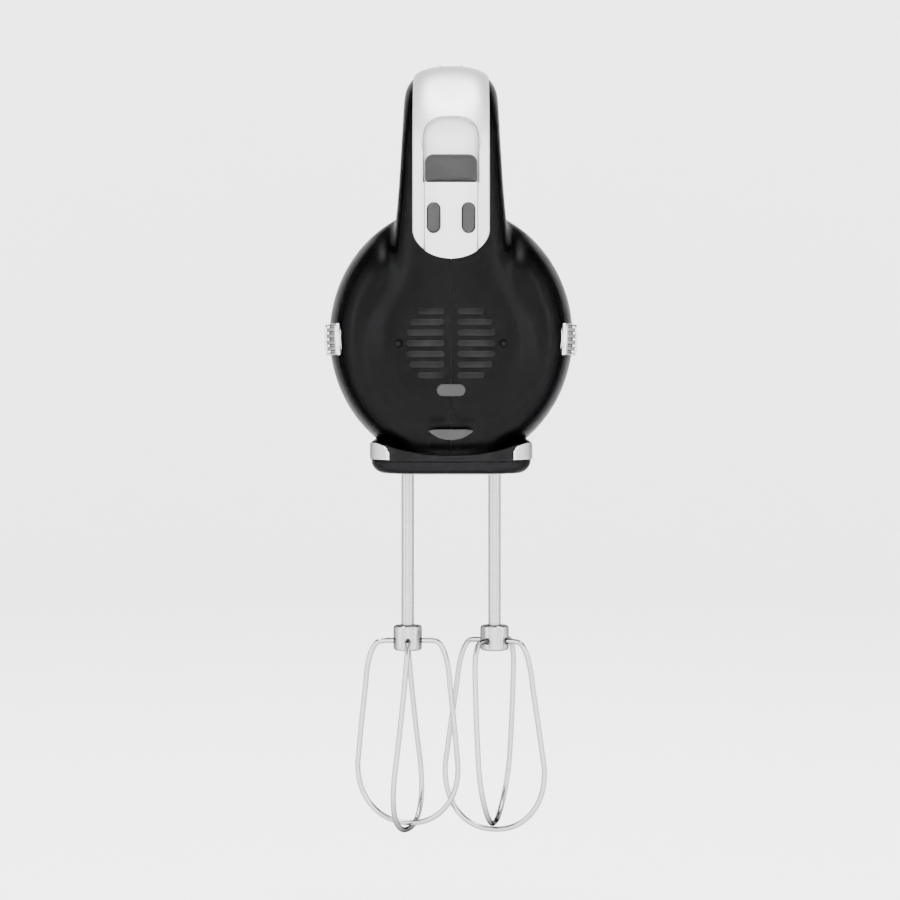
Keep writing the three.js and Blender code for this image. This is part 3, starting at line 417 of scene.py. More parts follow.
along = np.gradient(handle_line[:, :2], axis=0)
along /= np.linalg.norm(along, axis=1)[:, None]
outward = np.stack([-along[:, 1], along[:, 0]], 1)
handle_length = np.linalg.norm(np.diff(handle_line[:, :2], axis=0), axis=1).sum()
print("body points", len(body_line), "handle length mm", round(float(handle_length), 1))

# %% [markdown]
# ## The shell as one function
# On the real mixer the handle grows out of the body in a single moulding, with a soft fillet between them.
# Two separate surfaces would leave a seam, so the shell is described by one function of space that is
# negative inside: the body's distance and the handle's distance joined by a smooth minimum. Surface points
# are found on a regular grid of samples, and Newton steps carry each one exactly onto the zero of the
# function. Two maps store each curve's distance in its own plane, so that the function is quick to work out.

# %% Distance maps
def nearest(points, line):
    """For points [n, 2], the index of the nearest point of line [m, 2] and the distance to the line there:
    the distance to the nearest point after a slide along the line, of at most 0.6 of the points' spacing."""
    index = np.empty(len(points), int)
    block = 20000
    for start in range(0, len(points), block):
        some = points[start:start + block]
        squared = (some ** 2).sum(1)[:, None] + (line ** 2).sum(1)[None] - 2 * some @ line.T
        index[start:start + block] = squared.argmin(1)
    ahead = np.gradient(line, axis=0)
    spacing = np.linalg.norm(ahead, axis=1)
    ahead /= spacing[:, None]
    offset = points - line[index]
    slide = np.clip((offset * ahead[index]).sum(1), -0.6 * spacing[index], 0.6 * spacing[index])
    far = np.linalg.norm(offset - slide[:, None] * ahead[index], axis=1)
    return index, far


def plane_grid(low, high, step):
    """Regular samples of a plane between two corners."""
    axes = [np.arange(a, b + step, step) for a, b in zip(low, high)]
    return axes, np.stack(np.meshgrid(*axes, indexing="ij"), -1)


def read_map(axes, values, a, b):
    """Bilinear reading of values [na, nb, k] at coordinates a and b."""
    step = axes[0][1] - axes[0][0]
    u = np.clip((a - axes[0][0]) / step, 0, len(axes[0]) - 1.001)
    v = np.clip((b - axes[1][0]) / step, 0, len(axes[1]) - 1.001)
    i, j = u.astype(int), v.astype(int)
    fu, fv = (u - i)[..., None], (v - j)[..., None]
    return ((values[i, j] * (1 - fu) + values[i + 1, j] * fu) * (1 - fv)
            + (values[i, j + 1] * (1 - fu) + values[i + 1, j + 1] * fu) * fv)


MAP_STEP, MAP_MARGIN = 0.5, 12
map_top = (NOSE_Y + MAP_MARGIN, HALF_W + MAP_MARGIN)
body_axes, body_plane = plane_grid((REAR_Y - MAP_MARGIN, 0), map_top, MAP_STEP)
flat = body_plane.reshape(-1, 2)
_, far = nearest(flat, body_line)
inside = flat[:, 1] < np.interp(flat[:, 0], body_line[:, 0], body_line[:, 1], left=0, right=0)
body_map = np.where(inside, -far, far).reshape(body_plane.shape[:2])[..., None]

hand_axes, hand_plane = plane_grid((-112, 40), (78, 168), MAP_STEP)
flat = hand_plane.reshape(-1, 2)
index, far = nearest(flat, handle_line[:, :2])
side = ((flat - handle_line[index, :2]) * outward[index]).sum(1)
signed = np.where(side < 0, -far, far)
hand_map = np.stack([signed, handle_line[index, 2], handle_line[index, 3]], -1)
hand_map = hand_map.reshape(hand_plane.shape[:2] + (3,))
print("maps", body_map.shape, hand_map.shape)

# %% Shell function
def body_distance(p):
    """Distance to the body: the profile's distance at the point's height above the motor axis."""
    radius = np.sqrt(p[..., 0] ** 2 + ((p[..., 2] - CENTRE_Z) / TALL) ** 2)
    return read_map(body_axes, body_map, p[..., 1], radius)[..., 0]


def handle_distance(p):
    """Distance to the handle: the section |x/w|^n + |t/h|^n = 1 about the nearest point of its line."""
    t = read_map(hand_axes, hand_map, p[..., 1], p[..., 2])
    g = ((np.abs(p[..., 0]) / t[..., 1]) ** POWER + (np.abs(t[..., 0]) / t[..., 2]) ** POWER) ** (1 / POWER)
    return (g - 1) * np.minimum(t[..., 1], t[..., 2])


def smooth_min(a, b, reach):
    """Smooth minimum of two distances: with h = 1/2 + (b - a) / (2 reach), held between 0 and 1, it is
    b (1 - h) + a h - reach h (1 - h)."""
    h = np.clip(0.5 + 0.5 * (b - a) / reach, 0, 1)
    return b * (1 - h) + a * h - reach * h * (1 - h)


BOSS_RADIUS, BOSS_Z, NECK_HALF, NECK_FOOT = 25.5, 46.5, 13.5, 52
CRESCENT_Z = 15.4


def boss_relief(x, z):
    """A shallow valley round a keyhole shape on the rear: a round boss about the vents joined to a neck above
    it. With d the distance outside that shape, the skin sinks by 2.3 exp(-((d - 4.5) / 5)^2)."""
    disc = np.hypot(x, z - BOSS_Z) - BOSS_RADIUS
    neck = np.abs(x) - (NECK_HALF + np.clip((z - 74) / 14, 0, 1) * 5)
    outside = smooth_min(disc, np.maximum(neck, NECK_FOOT - z), 9)
    return 2.3 * np.exp(-((outside - 4.5) / 5) ** 2)


def crescent_rise(x, z):
    """The low platform under the crescent foot: 3.6 exp(-(x / 10.5)^4 - (dz / 5.2)^4), dz from its middle."""
    return 3.6 * np.exp(-(x / 10.5) ** 4 - ((z - CRESCENT_Z + 0.2) / 5.2) ** 4)


def shell_distance(p):
    """Smooth minimum of body and handle, the body with its valley and platform wherever y is below -70."""
    x, z = p[..., 0], p[..., 2]
    relief = (boss_relief(x, z) - crescent_rise(x, z)) * smoothstep((-70 - p[..., 1]) / 15)
    return smooth_min(body_distance(p) + relief, handle_distance(p), 3.0)


def gradient(distance, p, step=0.15):
    """Slope of a distance function by central differences."""
    parts = []
    for axis in range(3):
        d = np.zeros(3)
        d[axis] = step
        parts.append((distance(p + d) - distance(p - d)) / (2 * step))
    return np.stack(parts, -1)


def settle(distance, p, free, rounds=5):
    """Newton steps onto the zero of a distance function; free [n, 3] is 1 where a coordinate may move."""
    for _ in range(rounds):
        g = gradient(distance, p) * free
        p = p - g * (distance(p) / np.maximum((g ** 2).sum(-1), 0.05))[..., None]
    return p


probe = np.array([[0, REAR_Y, BOSS_Z], [HALF_W, 0, CENTRE_Z], [0, 0, 150.0]])
print("shell distance at three probes", np.round(shell_distance(probe), 2))

# %% [markdown]
# ## Left and right housing halves
# The halves meet on a vertical line down the middle, which shows as a hairline. A half could be a sculpted
# or subdivided cage, but its rim would have to be straightened by hand. Here each half is the shell on one
# side of the middle plane. The rim points are held on the plane while they settle, so the two rims run
# exactly alongside each other, and a Solidify modifier gives the moulding its wall.

# %% Housing halves
SEAM_X, SHELL_FOOT, SHELL_WALL = 0.09, 7.2, 2.2
STEP, QUICK_STEP = 1.05, 1.8


def half_shell(step):
    """Points and quads of the shell for x >= SEAM_X: one point for each cell that the surface crosses, and
    one quad for each lattice edge whose ends lie on different sides of it."""
    low = np.array([SEAM_X - step / 2, REAR_Y - 7.0, SHELL_FOOT - step / 2])
    count = np.ceil((np.array([HALF_W + 4, NOSE_Y + 3, 160]) - low) / step).astype(int) + 1
    axes = [low[k] + np.arange(count[k]) * step for k in range(3)]
    lattice = np.stack(np.meshgrid(*axes, indexing="ij"), -1)
    below = shell_distance(lattice) < 0
    total = sum(below[i:count[0] - 1 + i, j:count[1] - 1 + j, k:count[2] - 1 + k].astype(np.int8)
                for i in (0, 1) for j in (0, 1) for k in (0, 1))
    active = (total > 0) & (total < 8)
    number = np.full(active.shape, -1)
    number[active] = np.arange(active.sum())
    cell = np.argwhere(active)
    points = low + (cell + 0.5) * step
    free = np.ones_like(points)
    free[cell[:, 0] == 0, 0] = 0
    free[cell[:, 2] == 0, 2] = 0
    quads = []
    for axis in range(3):
        u, v = (axis + 1) % 3, (axis + 2) % 3
        a = np.moveaxis(below, axis, 0)
        change = np.moveaxis(a[:-1] != a[1:], 0, axis)
        at = np.argwhere(change)
        ok = (at[:, u] > 0) & (at[:, v] > 0) & (at[:, u] < count[u] - 1) & (at[:, v] < count[v] - 1)
        at = at[ok]
        corner = []
        for du, dv in ((1, 1), (0, 1), (0, 0), (1, 0)):
            q = at.copy()
            q[:, u] -= du
            q[:, v] -= dv
            corner.append(number[q[:, 0], q[:, 1], q[:, 2]])
        quad = np.stack(corner, -1)
        inward = below[at[:, 0], at[:, 1], at[:, 2]]
        quads.append(np.where(inward[:, None], quad, quad[:, ::-1]))
    quads = np.vstack(quads)
    quads = quads[(quads >= 0).all(1)]
    return points, quads, free


def relax(points, quads, free, rounds=4):
    """Moves each point to the mean of its neighbours along free directions, then back onto the surface."""
    ends = np.vstack([quads[:, [k, (k + 1) % 4]] for k in range(4)])
    for _ in range(rounds):
        total = np.zeros_like(points)
        number = np.zeros(len(points))
        np.add.at(total, ends[:, 0], points[ends[:, 1]])
        np.add.at(number, ends[:, 0], 1)
        mean = total / np.maximum(number, 1)[:, None]
        points = points + (mean - points) * free * 0.6
        points = settle(shell_distance, points, free, 2)
    return points


shell_points, shell_quads, shell_free = half_shell(STEP)
shell_points = settle(shell_distance, shell_points, shell_free)
shell_points = relax(shell_points, shell_quads, shell_free)
print("half shell", len(shell_points), "points", len(shell_quads), "quads, error mm",
      round(float(np.abs(shell_distance(shell_points)).max()), 4))


def solidify(piece, thickness):
    """Gives an open surface a wall on its inner side."""
    wall = piece.modifiers.new("wall", "SOLIDIFY")
    wall.thickness = thickness * MM
    wall.offset = -1.0
    wall.use_rim = True
    wall.use_even_offset = False


halves = {}
for word, sign in (("right", 1), ("left", -1)):
    half = mesh_piece("housing_" + word, shell_points * [sign, 1, 1], [shell_quads], SHELL, "housing",
                      (word + "_housing",), flip=sign < 0)
    solidify(half, SHELL_WALL)
    halves[word] = half

# %% [markdown]
# ## Outlines, pads and slabs
# Most small parts are one of two kinds. A pad is an outline pushed out of a surface, with a rounded edge
# and a slightly domed face: feet, buttons, covers, plates. A slab is a strip whose top and bottom heights
# are given at every point, for relief such as ribs. Both are placed by a function that turns two surface
# coordinates and a height into a point in space, so the same code works on any surface.

# %% Outlines, pads and slabs
def rounded_rect(half_a, half_b, radius, corner=10, radius_low=None):
    """Outline of a rectangle with round corners; the two lower corners may have a radius of their own."""
    low = radius if radius_low is None else radius_low
    turn = np.linspace(0, np.pi / 2, corner)
    arcs = []
    for k, (sa, sb, r) in enumerate(((1, 1, radius), (-1, 1, radius), (-1, -1, low), (1, -1, low))):
        angle = turn + k * np.pi / 2
        centre = [sa * (half_a - r), sb * (half_b - r)]
        arcs.append(centre + r * np.stack([np.cos(angle), np.sin(angle)], 1))
    return np.vstack(arcs)


def circle(radius, count=64):
    """Outline of a circle."""
    turn = np.linspace(0, 2 * np.pi, count, endpoint=False)
    return radius * np.stack([np.cos(turn), np.sin(turn)], 1)


def inset(outline, amount):
    """The outline moved inward along its normals, which are taken from each point's neighbours."""
    ahead = np.roll(outline, -1, 0) - np.roll(outline, 1, 0)
    normal = np.stack([ahead[:, 1], -ahead[:, 0]], 1)
    return outline - amount * normal / np.maximum(np.linalg.norm(normal, axis=1), 1e-9)[:, None]


def pad(name, outline, place, material, body, nodes=(), depth=2.0, bevel=0.5, dome=0.0,
        sharp=None):
    """An outline pushed out of a surface. Height is 0 at the edge of the face and -depth at the foot. The
    edge is a quarter circle of radius bevel, and the face rises by dome * (1 - s^2), where s is the share of
    the way from the middle to the edge."""
    quarter = np.linspace(0, np.pi / 2, 6)[1:]
    rings = [(outline * 0.5, -depth), (outline, -depth), (outline, -bevel)]
    rings += [(inset(outline, bevel * (1 - np.cos(a))), -bevel * (1 - np.sin(a))) for a in quarter]
    face = inset(outline, bevel)
    rings += [(face * s, dome * (1 - s * s)) for s in (0.93, 0.84, 0.72, 0.58, 0.42, 0.25, 0.08)]
    grid = np.stack([place(ring[:, 0], ring[:, 1], np.full(len(ring), h)) for ring, h in rings])
    return grid_piece(name, grid, material, body, nodes, sharp=sharp)


def slab(name, along, across, top, bottom, place, material, body, nodes=(), sharp=None):
    """A strip over rows and columns: each row is a ring that runs over the top and back along the bottom."""
    upper = place(along, across, top)
    lower = place(along, across, bottom)[:, ::-1]
    return grid_piece(name, np.concatenate([upper, lower], 1), material, body, nodes, sharp=sharp)


def cut_with(pieces, prisms):
    """Cuts closed prisms, each given as two rings [2, n, 3], out of pieces, and applies the cut."""
    verts, faces, base = [], [], 0
    for rings in prisms:
        n = rings.shape[1]
        if signed_volume(rings.reshape(-1, 3), grid_faces(2, n)) < 0:
            rings = rings[:, ::-1]
        verts.append(rings.reshape(-1, 3) * MM)
        faces += (grid_faces(2, n) + base).tolist()
        faces += [[base + a for a in range(n)][::-1], [base + n + a for a in range(n)]]
        base += 2 * n
    mesh = bpy.data.meshes.new("cutter")
    mesh.from_pydata(np.vstack(verts).tolist(), [], faces)
    mesh.update()
    cutter = bpy.data.objects.new("cutter", mesh)
    scene.collection.objects.link(cutter)
    for piece in pieces:
        cut = piece.modifiers.new("cut", "BOOLEAN")
        cut.object = cutter
        cut.operation = "DIFFERENCE"
        cut.solver = "EXACT"
        bpy.context.view_layer.update()
        evaluated = piece.evaluated_get(bpy.context.evaluated_depsgraph_get())
        piece_mesh = bpy.data.meshes.new_from_object(evaluated)
        piece.modifiers.clear()
        piece.data = piece_mesh
        piece_mesh.polygons.foreach_set("use_smooth", np.full(len(piece_mesh.polygons), True))
        crease(piece, 32)
        piece.modifiers.new("normals", "WEIGHTED_NORMAL").keep_sharp = True
    bpy.data.objects.remove(cutter)


def prism(outline, place, low, high):
    """Two rings of an outline, placed at two heights."""
    return np.stack([place(outline[:, 0], outline[:, 1], np.full(len(outline), h)) for h in (low, high)])


def upright_prism(outline, x, y, low, high):
    """A prism along Z of an outline about (x, y)."""
    return prism(outline, lambda a, b, h: np.stack([a + x, b + y, h], -1), low, high)


def from_rear(x, z, y):
    """Places coordinates (x, z) and a y in space."""
    return np.stack(np.broadcast_arrays(x, y, z), -1)


def rear_y(x, z, start=-100.0):
    """Where a line along +Y at (x, z) first meets the shell, by Newton steps along Y alone."""
    p = from_rear(np.asarray(x, float), np.asarray(z, float), np.full(np.shape(x), start))
    return settle(shell_distance, p, np.array([0.0, 1.0, 0.0]), 12)[..., 1]


print("pads and slabs ready")

# %% [markdown]
# ## Vent slots and control openings
# Fourteen round-ended slots let air out at the rear: two columns of seven, their outer ends on one rounded
# outline. The handle's top has openings for the slider, the display, the eject button and the turbo button.
# They could be left out of the shell's own mesh, but that would tie its grid to them. All are cut through the
# finished wall with exact Booleans, as a tool would leave them in the moulding.

# %% Vents and openings
VENT_PITCH, VENT_INNER, SLOT_HALF = 3.72, 2.3, 1.05
ARCH_POWER = 2.6


def arch(distance, height, half_width):
    """Half width at a distance up a rounded outline: w (1 - (d / height)^2.6)^(1 / 2.6), and 0 beyond it."""
    return half_width * np.clip(1 - (distance / height) ** ARCH_POWER, 0, 1) ** (1 / ARCH_POWER)


def rear_prism(outline, x, z, near, far):
    """A prism along Y of an outline about (x, z)."""
    return prism(outline, lambda a, b, h: from_rear(a + x, b + z, h), near, far)


vent_prisms = {1: [], -1: []}
for row in range(-3, 4):
    outer = arch(abs(row * VENT_PITCH), 14.3, 15.6)
    vent_slot = rounded_rect((outer - VENT_INNER) / 2, SLOT_HALF, SLOT_HALF - 0.01, 8)
    for sign in (1, -1):
        middle = sign * (outer + VENT_INNER) / 2
        vent_prisms[sign].append(rear_prism(vent_slot, middle, VENT_Z + row * VENT_PITCH, -112, -88))
for sign in (1, -1):
    vent_prisms[sign].append(rear_prism(circle(1.5, 24), sign * PLUG_X, VENT_Z, -112, -94.6))


def beside_handle(share, reach):
    """Point (y, z) at a share of the handle line, moved outward by reach, and the line's direction there."""
    k = int(round(share * HANDLE_STEPS))
    return handle_line[k, :2] + outward[k] * reach, along[k]


SLOPE = np.arctan2(4, 34)
SHOW_SHARE = 0.634
slide_at, _ = beside_handle(0.568, GRIP_T + 1.0)
show_at, show_way = beside_handle(SHOW_SHARE, handle_line[int(round(SHOW_SHARE * HANDLE_STEPS)), 3] + 1.0)
eject_at, _ = beside_handle(0.706, GRIP_T + 2.4)


def top_frame(at, way, shift=0.0):
    """A placing function on the handle's top: a across, b along the way, h away from the handle."""
    def place(a, b, h):
        b = b + shift
        return np.stack([a, at[0] + b * way[0] - h * way[1], at[1] + b * way[1] + h * way[0]], -1)
    return place


on_slide = top_frame(slide_at, (np.cos(SLOPE), np.sin(SLOPE)))
on_show = top_frame(show_at, show_way)
on_thumb = top_frame(slide_at, (np.cos(SLOPE), np.sin(SLOPE)), -8.0)


EJECT_RADIUS, TURBO_RADIUS, CONTROL_GAP = 6.0, 6.5, 0.3
ARCH_FOOT, SCOOP_FOOT, SCOOP_HALF = 117.5, 102.6, 9.7
control_prisms = [
    prism(rounded_rect(2.6, 11.4, 2.59, 12), on_slide, -9, 6),
    prism(rounded_rect(9.3, 5.8, 2.0, 12), on_show, -9, 6),
    upright_prism(circle(EJECT_RADIUS + CONTROL_GAP), 0, eject_at[0], 130, 170),
    rear_prism(circle(TURBO_RADIUS + CONTROL_GAP), 0, TURBO_Z, 52, 80)]
arch_z = ARCH_FOOT + 8.5 * np.sin(np.linspace(0, np.pi / 2, 24)) ** 0.9
arch_x = arch(arch_z - ARCH_FOOT, 8.5, SCOOP_HALF + 0.15)
scoop_outline = np.vstack([
    [[-SCOOP_HALF, SCOOP_FOOT], [SCOOP_HALF, SCOOP_FOOT]], np.stack([arch_x, arch_z], 1),
    np.stack([-arch_x, arch_z], 1)[-2::-1]])
scoop_prism = rear_prism(scoop_outline, 0, 0, -120, -92)
for word, sign in (("right", 1), ("left", -1)):
    cut_with([halves[word]], vent_prisms[sign] + control_prisms + [scoop_prism])
    print("housing", word, len(halves[word].data.polygons), "faces")

# %% [markdown]
# ## Seam lip and vent screen
# Behind the seam one half carries a lip that laps over the other, so no light passes through the joint.
# Behind the vents a fine filter mesh keeps dust out; at this size it is a thin disc with a coarse grain.

# %% Lip and screen
lip_z = np.linspace(9, 76, 140)[:, None] + np.zeros((1, 7))
lip_x = np.linspace(-1.9, 1.9, 7)[None] + np.zeros((140, 1))
lip_y = rear_y(0 * lip_z, lip_z) + SHELL_WALL + 0.15
slab("seam_lip", lip_z, lip_x, 0 * lip_z, 0 * lip_z - 0.9, lambda z, x, h: from_rear(x, z, lip_y - h), GREY,
     "housing", (), sharp=40)
SCREEN_FACE = node_box("vent_screen")[0][1]
pad("vent_mesh", circle(18.9, 96), lambda a, b, h: from_rear(a, b + VENT_Z, SCREEN_FACE - h), SCREEN,
    "housing", ("vent_screen",), depth=0.9, bevel=0.2)
print("lip from z", lip_z[0, 0], "to", lip_z[-1, 0], "screen at y", SCREEN_FACE)

# %% [markdown]
# ## Handle strip
# A satin silver strip wraps the outer side of the handle from its rounded lower end, over the top and down
# the front. It stands 1 mm proud. At the rear its middle rises into a flat tongue that carries the heel feet,
# and a scoop with a crisp arched edge sinks above the cord outlet. It could be cut from a thick slab step by
# step, but all of it is one height over the handle: the base height plus a few smooth steps in x and z. So
# each column of points is carried out to the shell's skin, and then raised by that height.

# %% Strip
STRIP_HALF, STRIP_FOOT, STRIP_PROUD = node_box("handle_strip")[1][0], node_box("handle_strip")[0][2], 1.0
STRIP_END_SHARE, END_LENGTH, SKIN_REACH = 0.86, 9.7, 16.5


def strip_rows():
    """Places along the handle line: close together at the rear, where the relief is, and wider elsewhere."""
    y, z = (handle_line[:, :2] + outward * SKIN_REACH).T
    first = np.argmax((z >= STRIP_FOOT) & (y < -60))
    bend = np.argmax((z > 130) & (y < -40))
    last = int(STRIP_END_SHARE * HANDLE_STEPS)
    return np.concatenate([np.linspace(first, bend, 190), np.linspace(bend, last, 150)[1:]])


def strip_relief(x, z, y):
    """Height added to the strip at the rear: the tongue rises by 1.6 between flanks 0.45 lower, and the scoop
    under its arch sinks by 1.1 at the top to 2.85 at its foot."""
    rear = smoothstep((-70 - y) / 6)
    tongue_half = 9.25 + 1.5 * smoothstep((z - 108) / 14)
    mask = smoothstep((tongue_half + 0.2 - np.abs(x)) / 0.4)
    tongue = (1.6 * mask - 0.45 * (1 - mask)) * smoothstep((121 - z) / 13)
    scoop_half = arch(np.clip(z - ARCH_FOOT, 0, None), 8.4, SCOOP_HALF)
    within = smoothstep((scoop_half - np.abs(x)) / 0.35 + 0.5) * (z < 125.95) * smoothstep((z - 102.7) / 0.3)
    sunk = 1.1 + 1.75 * np.clip((125.9 - z) / 13, 0, 1)
    return rear * (tongue - within * (sunk + tongue))


rows_at = strip_rows()
columns = np.concatenate([
    np.linspace(-1, -0.76, 14), np.linspace(-0.76, -0.66, 16)[1:], np.linspace(-0.66, 0.66, 56)[1:],
    np.linspace(0.66, 0.76, 16)[1:], np.linspace(0.76, 1, 14)[1:]])
steps = np.arange(HANDLE_STEPS + 1)
line_y, line_z = (np.interp(rows_at, steps, handle_line[:, k]) for k in (0, 1))
out_y, out_z = (np.interp(rows_at, steps, outward[:, k]) for k in (0, 1))
skin_y, skin_z = line_y + out_y * SKIN_REACH, line_z + out_z * SKIN_REACH
low_end = np.clip((STRIP_FOOT + END_LENGTH - skin_z) / END_LENGTH, 0, 0.9995) * (line_y < -60)
half_width = STRIP_HALF * np.sqrt(1 - low_end ** 2)
strip_x = half_width[:, None] * columns[None]


def beyond_line(x, far):
    """Points x across and far outward from the handle's line, row by row."""
    return np.stack([x, line_y[:, None] + out_y[:, None] * far, line_z[:, None] + out_z[:, None] * far], -1)


reach, nudge = np.full(strip_x.shape, 17.0), 0.1
for _ in range(12):
    short = shell_distance(beyond_line(strip_x, reach))
    slope = (shell_distance(beyond_line(strip_x, reach + nudge)) - short) / nudge
    reach = reach - np.clip(short / np.maximum(slope, 0.3), -3, 3)
from_edge = np.minimum(half_width[:, None] * (1 - np.abs(columns)), 3.0)
travelled = np.concatenate([[0], np.cumsum(np.hypot(np.diff(skin_z), np.diff(skin_y)))])
from_end = np.minimum(travelled, travelled[-1] - travelled)[:, None]
rim = np.clip(np.minimum(from_edge, np.where(line_y[:, None] < 0, 3.0, from_end)) / 0.55, 0, 1)
height = STRIP_PROUD - 0.5 * (1 - np.sqrt(1 - (1 - rim) ** 2))
at = beyond_line(strip_x, reach)
height = height + strip_relief(at[..., 0], at[..., 2], at[..., 1])
bottom_height = np.minimum(0.03, height - 0.25)
strip = slab("handle_strip_skin", None, strip_x, height, bottom_height,
             lambda _, x, h: beyond_line(x, reach + h), SILVER, "housing", ("handle_strip",))
foot_hole = rounded_rect(2.45, 5.4, 2.44, 12)
foot_prisms = [rear_prism(foot_hole, side * FOOT_X, FEET_Z, -120, -97) for side in (-1, 1)]
cut_with([strip], control_prisms + foot_prisms)
print("strip", strip_x.shape, "reach mm", round(float(reach.min()), 2), round(float(reach.max()), 2))

# %% [markdown]
# ## Cord outlet, feet and plugs
# The cord outlet is a dark convex cover at the foot of the scoop, with large upper corners. The rubber feet
# let the mixer stand on its heel, so all their faces lie in one plane: the heel plane. Two round plugs sit
# beside the vents. A bevelled box would do for each, but its face would not follow the plane or the bow of
# the cover, so all are pads with a placing function of their own.

# %% Rear pads
HEEL_SLOPE, HEEL_Y, HEEL_Z = 9 / 75, -105, 90
FACE_SUNK = 0.02
CRESCENT_HALF = 7.85


def on_heel(x, z):
    """Places a pad about (x, z) with its face just inside the heel plane."""
    def place(a, b, h):
        return from_rear(a + x, b + z, HEEL_Y - (b + z - HEEL_Z) * HEEL_SLOPE - h + FACE_SUNK)
    return place


def on_plug(x):
    """Places a plug about x at the height of the vents, with its face level with the skin."""
    return lambda a, b, h: from_rear(a + x, b + VENT_Z, -95.9 - h)


cover_skin = float(rear_y(0.0, GLAND_Z))
COVER_HALF = 9.1


def on_cover(a, b, h):
    """Places the outlet cover: it bows outward across its width and over its height."""
    across = 1 - (a / COVER_HALF) ** 2
    bow = 0.6 * across + 0.8 * (1 - ((b - 0.6) / 5.4) ** 2)
    return from_rear(a, b + GLAND_Z - 0.35 * across * (b < 0), cover_skin - 1.0 - bow - h)


pad("outlet_cover", rounded_rect(COVER_HALF, 4.75, 3.0, 12, 1.1), on_cover, COVER, "housing",
    ("cord_outlet_cover",), depth=3.2, bevel=0.55, sharp=40)
for word, side in (("left", -1), ("right", 1)):
    pad("heel_pill_" + word, rounded_rect(2.03, 4.95, 2.02, 14), on_heel(side * FOOT_X, FEET_Z), RUBBER,
        "housing", ("heel_foot_" + word,), depth=4.4, bevel=0.6, sharp=50)
    pad("round_plug_" + word, circle(1.4, 40), on_plug(side * PLUG_X), BAND, "housing", ("plug_" + word,),
        depth=1.2, bevel=0.35, dome=0.3)
pad("lower_pill", rounded_rect(5.0, 2.08, 2.07, 14), on_heel(0, LOWER_FOOT_Z), RUBBER, "housing",
    ("lower_rear_foot",), depth=2.9, bevel=0.6, sharp=50)
across = np.linspace(-1, 1, 33)
crescent_low = np.stack([CRESCENT_HALF * across, 0.8 - 3.1 * (1 - np.abs(across) ** 2.3)], 1)
crescent_top = np.stack([CRESCENT_HALF * across[::-1], 0.8 + 0.55 * (1 - across ** 8)], 1)[1:-1]
crescent = np.vstack([crescent_low, crescent_top])
quarter = np.linspace(0, np.pi / 2, 5)[1:]
rings = [(1.0, -5.2), (1.0, -0.4)] + [(1 - 0.06 * (1 - np.cos(a)), -0.4 * (1 - np.sin(a))) for a in quarter]
rings += [(0.94 * share, 0.0) for share in (0.9, 0.75, 0.55, 0.3, 0.08)]
place = on_heel(0, CRESCENT_Z)
grid = np.stack([place(*(crescent.T * share), np.full(len(crescent), h)) for share, h in rings])
grid_piece("crescent_pad", grid, RUBBER, "housing", ("rear_crescent_foot",), sharp=45)
print("cover skin y", round(cover_skin, 2))

# %% [markdown]
# ## Side badges
# Each side of the body carries a thin plated bar with four raised blocks. On the real object the blocks are
# letters; here they are plain ribbed blocks of the same size. Flat blocks bent by a modifier would come
# close, but slabs whose height is measured from the body's side at each point have backs that fit it.

# %% Badges
BAR_HALF, BLOCK_HALF_Y, BLOCK_HALF_Z, BLOCK_PITCH = 1.2, 6.0, 5.6, 18


def on_side(side):
    """Places (y, z, height) on the side of the body: x = R(y) sqrt(1 - (dz / (tall R))^2) + height."""
    def place(y, z, h):
        radius = np.interp(y, body_line[:, 0], body_line[:, 1])
        x = radius * np.sqrt(1 - ((z - CENTRE_Z) / (TALL * radius)) ** 2) + h
        return np.stack([side * x, y, z], -1)
    return place


def badge_blocks(word, side):
    """A bar and four blocks: each block's face has five shallow grooves and a rounded rim."""
    place = on_side(side)
    y = np.linspace(-82, -16, 120)[:, None]
    z = BADGE_Z + np.linspace(-BAR_HALF, BAR_HALF, 13)[None]
    edge = np.clip((BAR_HALF - np.abs(z - BADGE_Z)) / 0.35, 0, 1)
    top = 0.9 - 0.35 * (1 - np.sqrt(1 - (1 - edge) ** 2)) + 0 * y
    y, z = np.broadcast_arrays(y, z)
    slab("badge_bar_" + word, y, z, top, 0 * top - 0.1, place, CHROME, "housing", ("side_badge_" + word,))
    for k in range(4):
        u = np.linspace(-1, 1, 61)[:, None] + np.zeros((1, 81))
        v = np.linspace(-1, 1, 81)[None] + np.zeros((61, 1))
        shrink = np.sqrt(1 - 0.5 * v ** 8)
        y = -78 + BLOCK_PITCH * k + BLOCK_HALF_Y * u * shrink
        z = BADGE_Z + BLOCK_HALF_Z * v
        edge = np.minimum(BLOCK_HALF_Y * (1 - np.abs(u)), BLOCK_HALF_Z * (1 - np.abs(v)))
        edge = np.clip(edge / 0.7, 0, 1)
        groove = 0.8 * smoothstep((np.cos(v * np.pi * 5) - 0.2) / 0.5) * smoothstep((0.8 - np.abs(u)) / 0.1)
        top = 1.8 - 0.7 * (1 - np.sqrt(1 - (1 - edge) ** 2)) - groove * (edge > 0.99)
        slab("badge_block_%s_%d" % (word, k + 1), y, z, top, 0 * top + 0.05, place, CHROME, "housing", (),
             sharp=40)


badge_blocks("left", -1)
badge_blocks("right", 1)
print("badges made")

# %% [markdown]
# ## Base, trims and underside plate
# The base is a moulded tray: the outline of the underside carried up a profile with a 5 mm rounded lower edge
# and a fine parting groove. Its rear rim dips in the middle, where the body's skin comes down to meet it. A
# box with bevels would give the outline, but not the dip, so every ring of the tray is the same outline moved
# inward and set at its own height. Plated trims run along both sides, each ending at the rear in a rounded
# lobe. A satin plate covers the underside, with the two beater sockets.

# %% Base
BASE_HALF, BASE_REAR, BASE_FRONT = node_box("side_trim_right")[1][0], node_box("base_housing")[0][1], 66.0
BASE_CORNER, BASE_NOSE = 16, 40
BASE_FOOT, BASE_ROUND, BASE_TOP, BASE_FLOOR = 0.8, 5, 12, 3.2


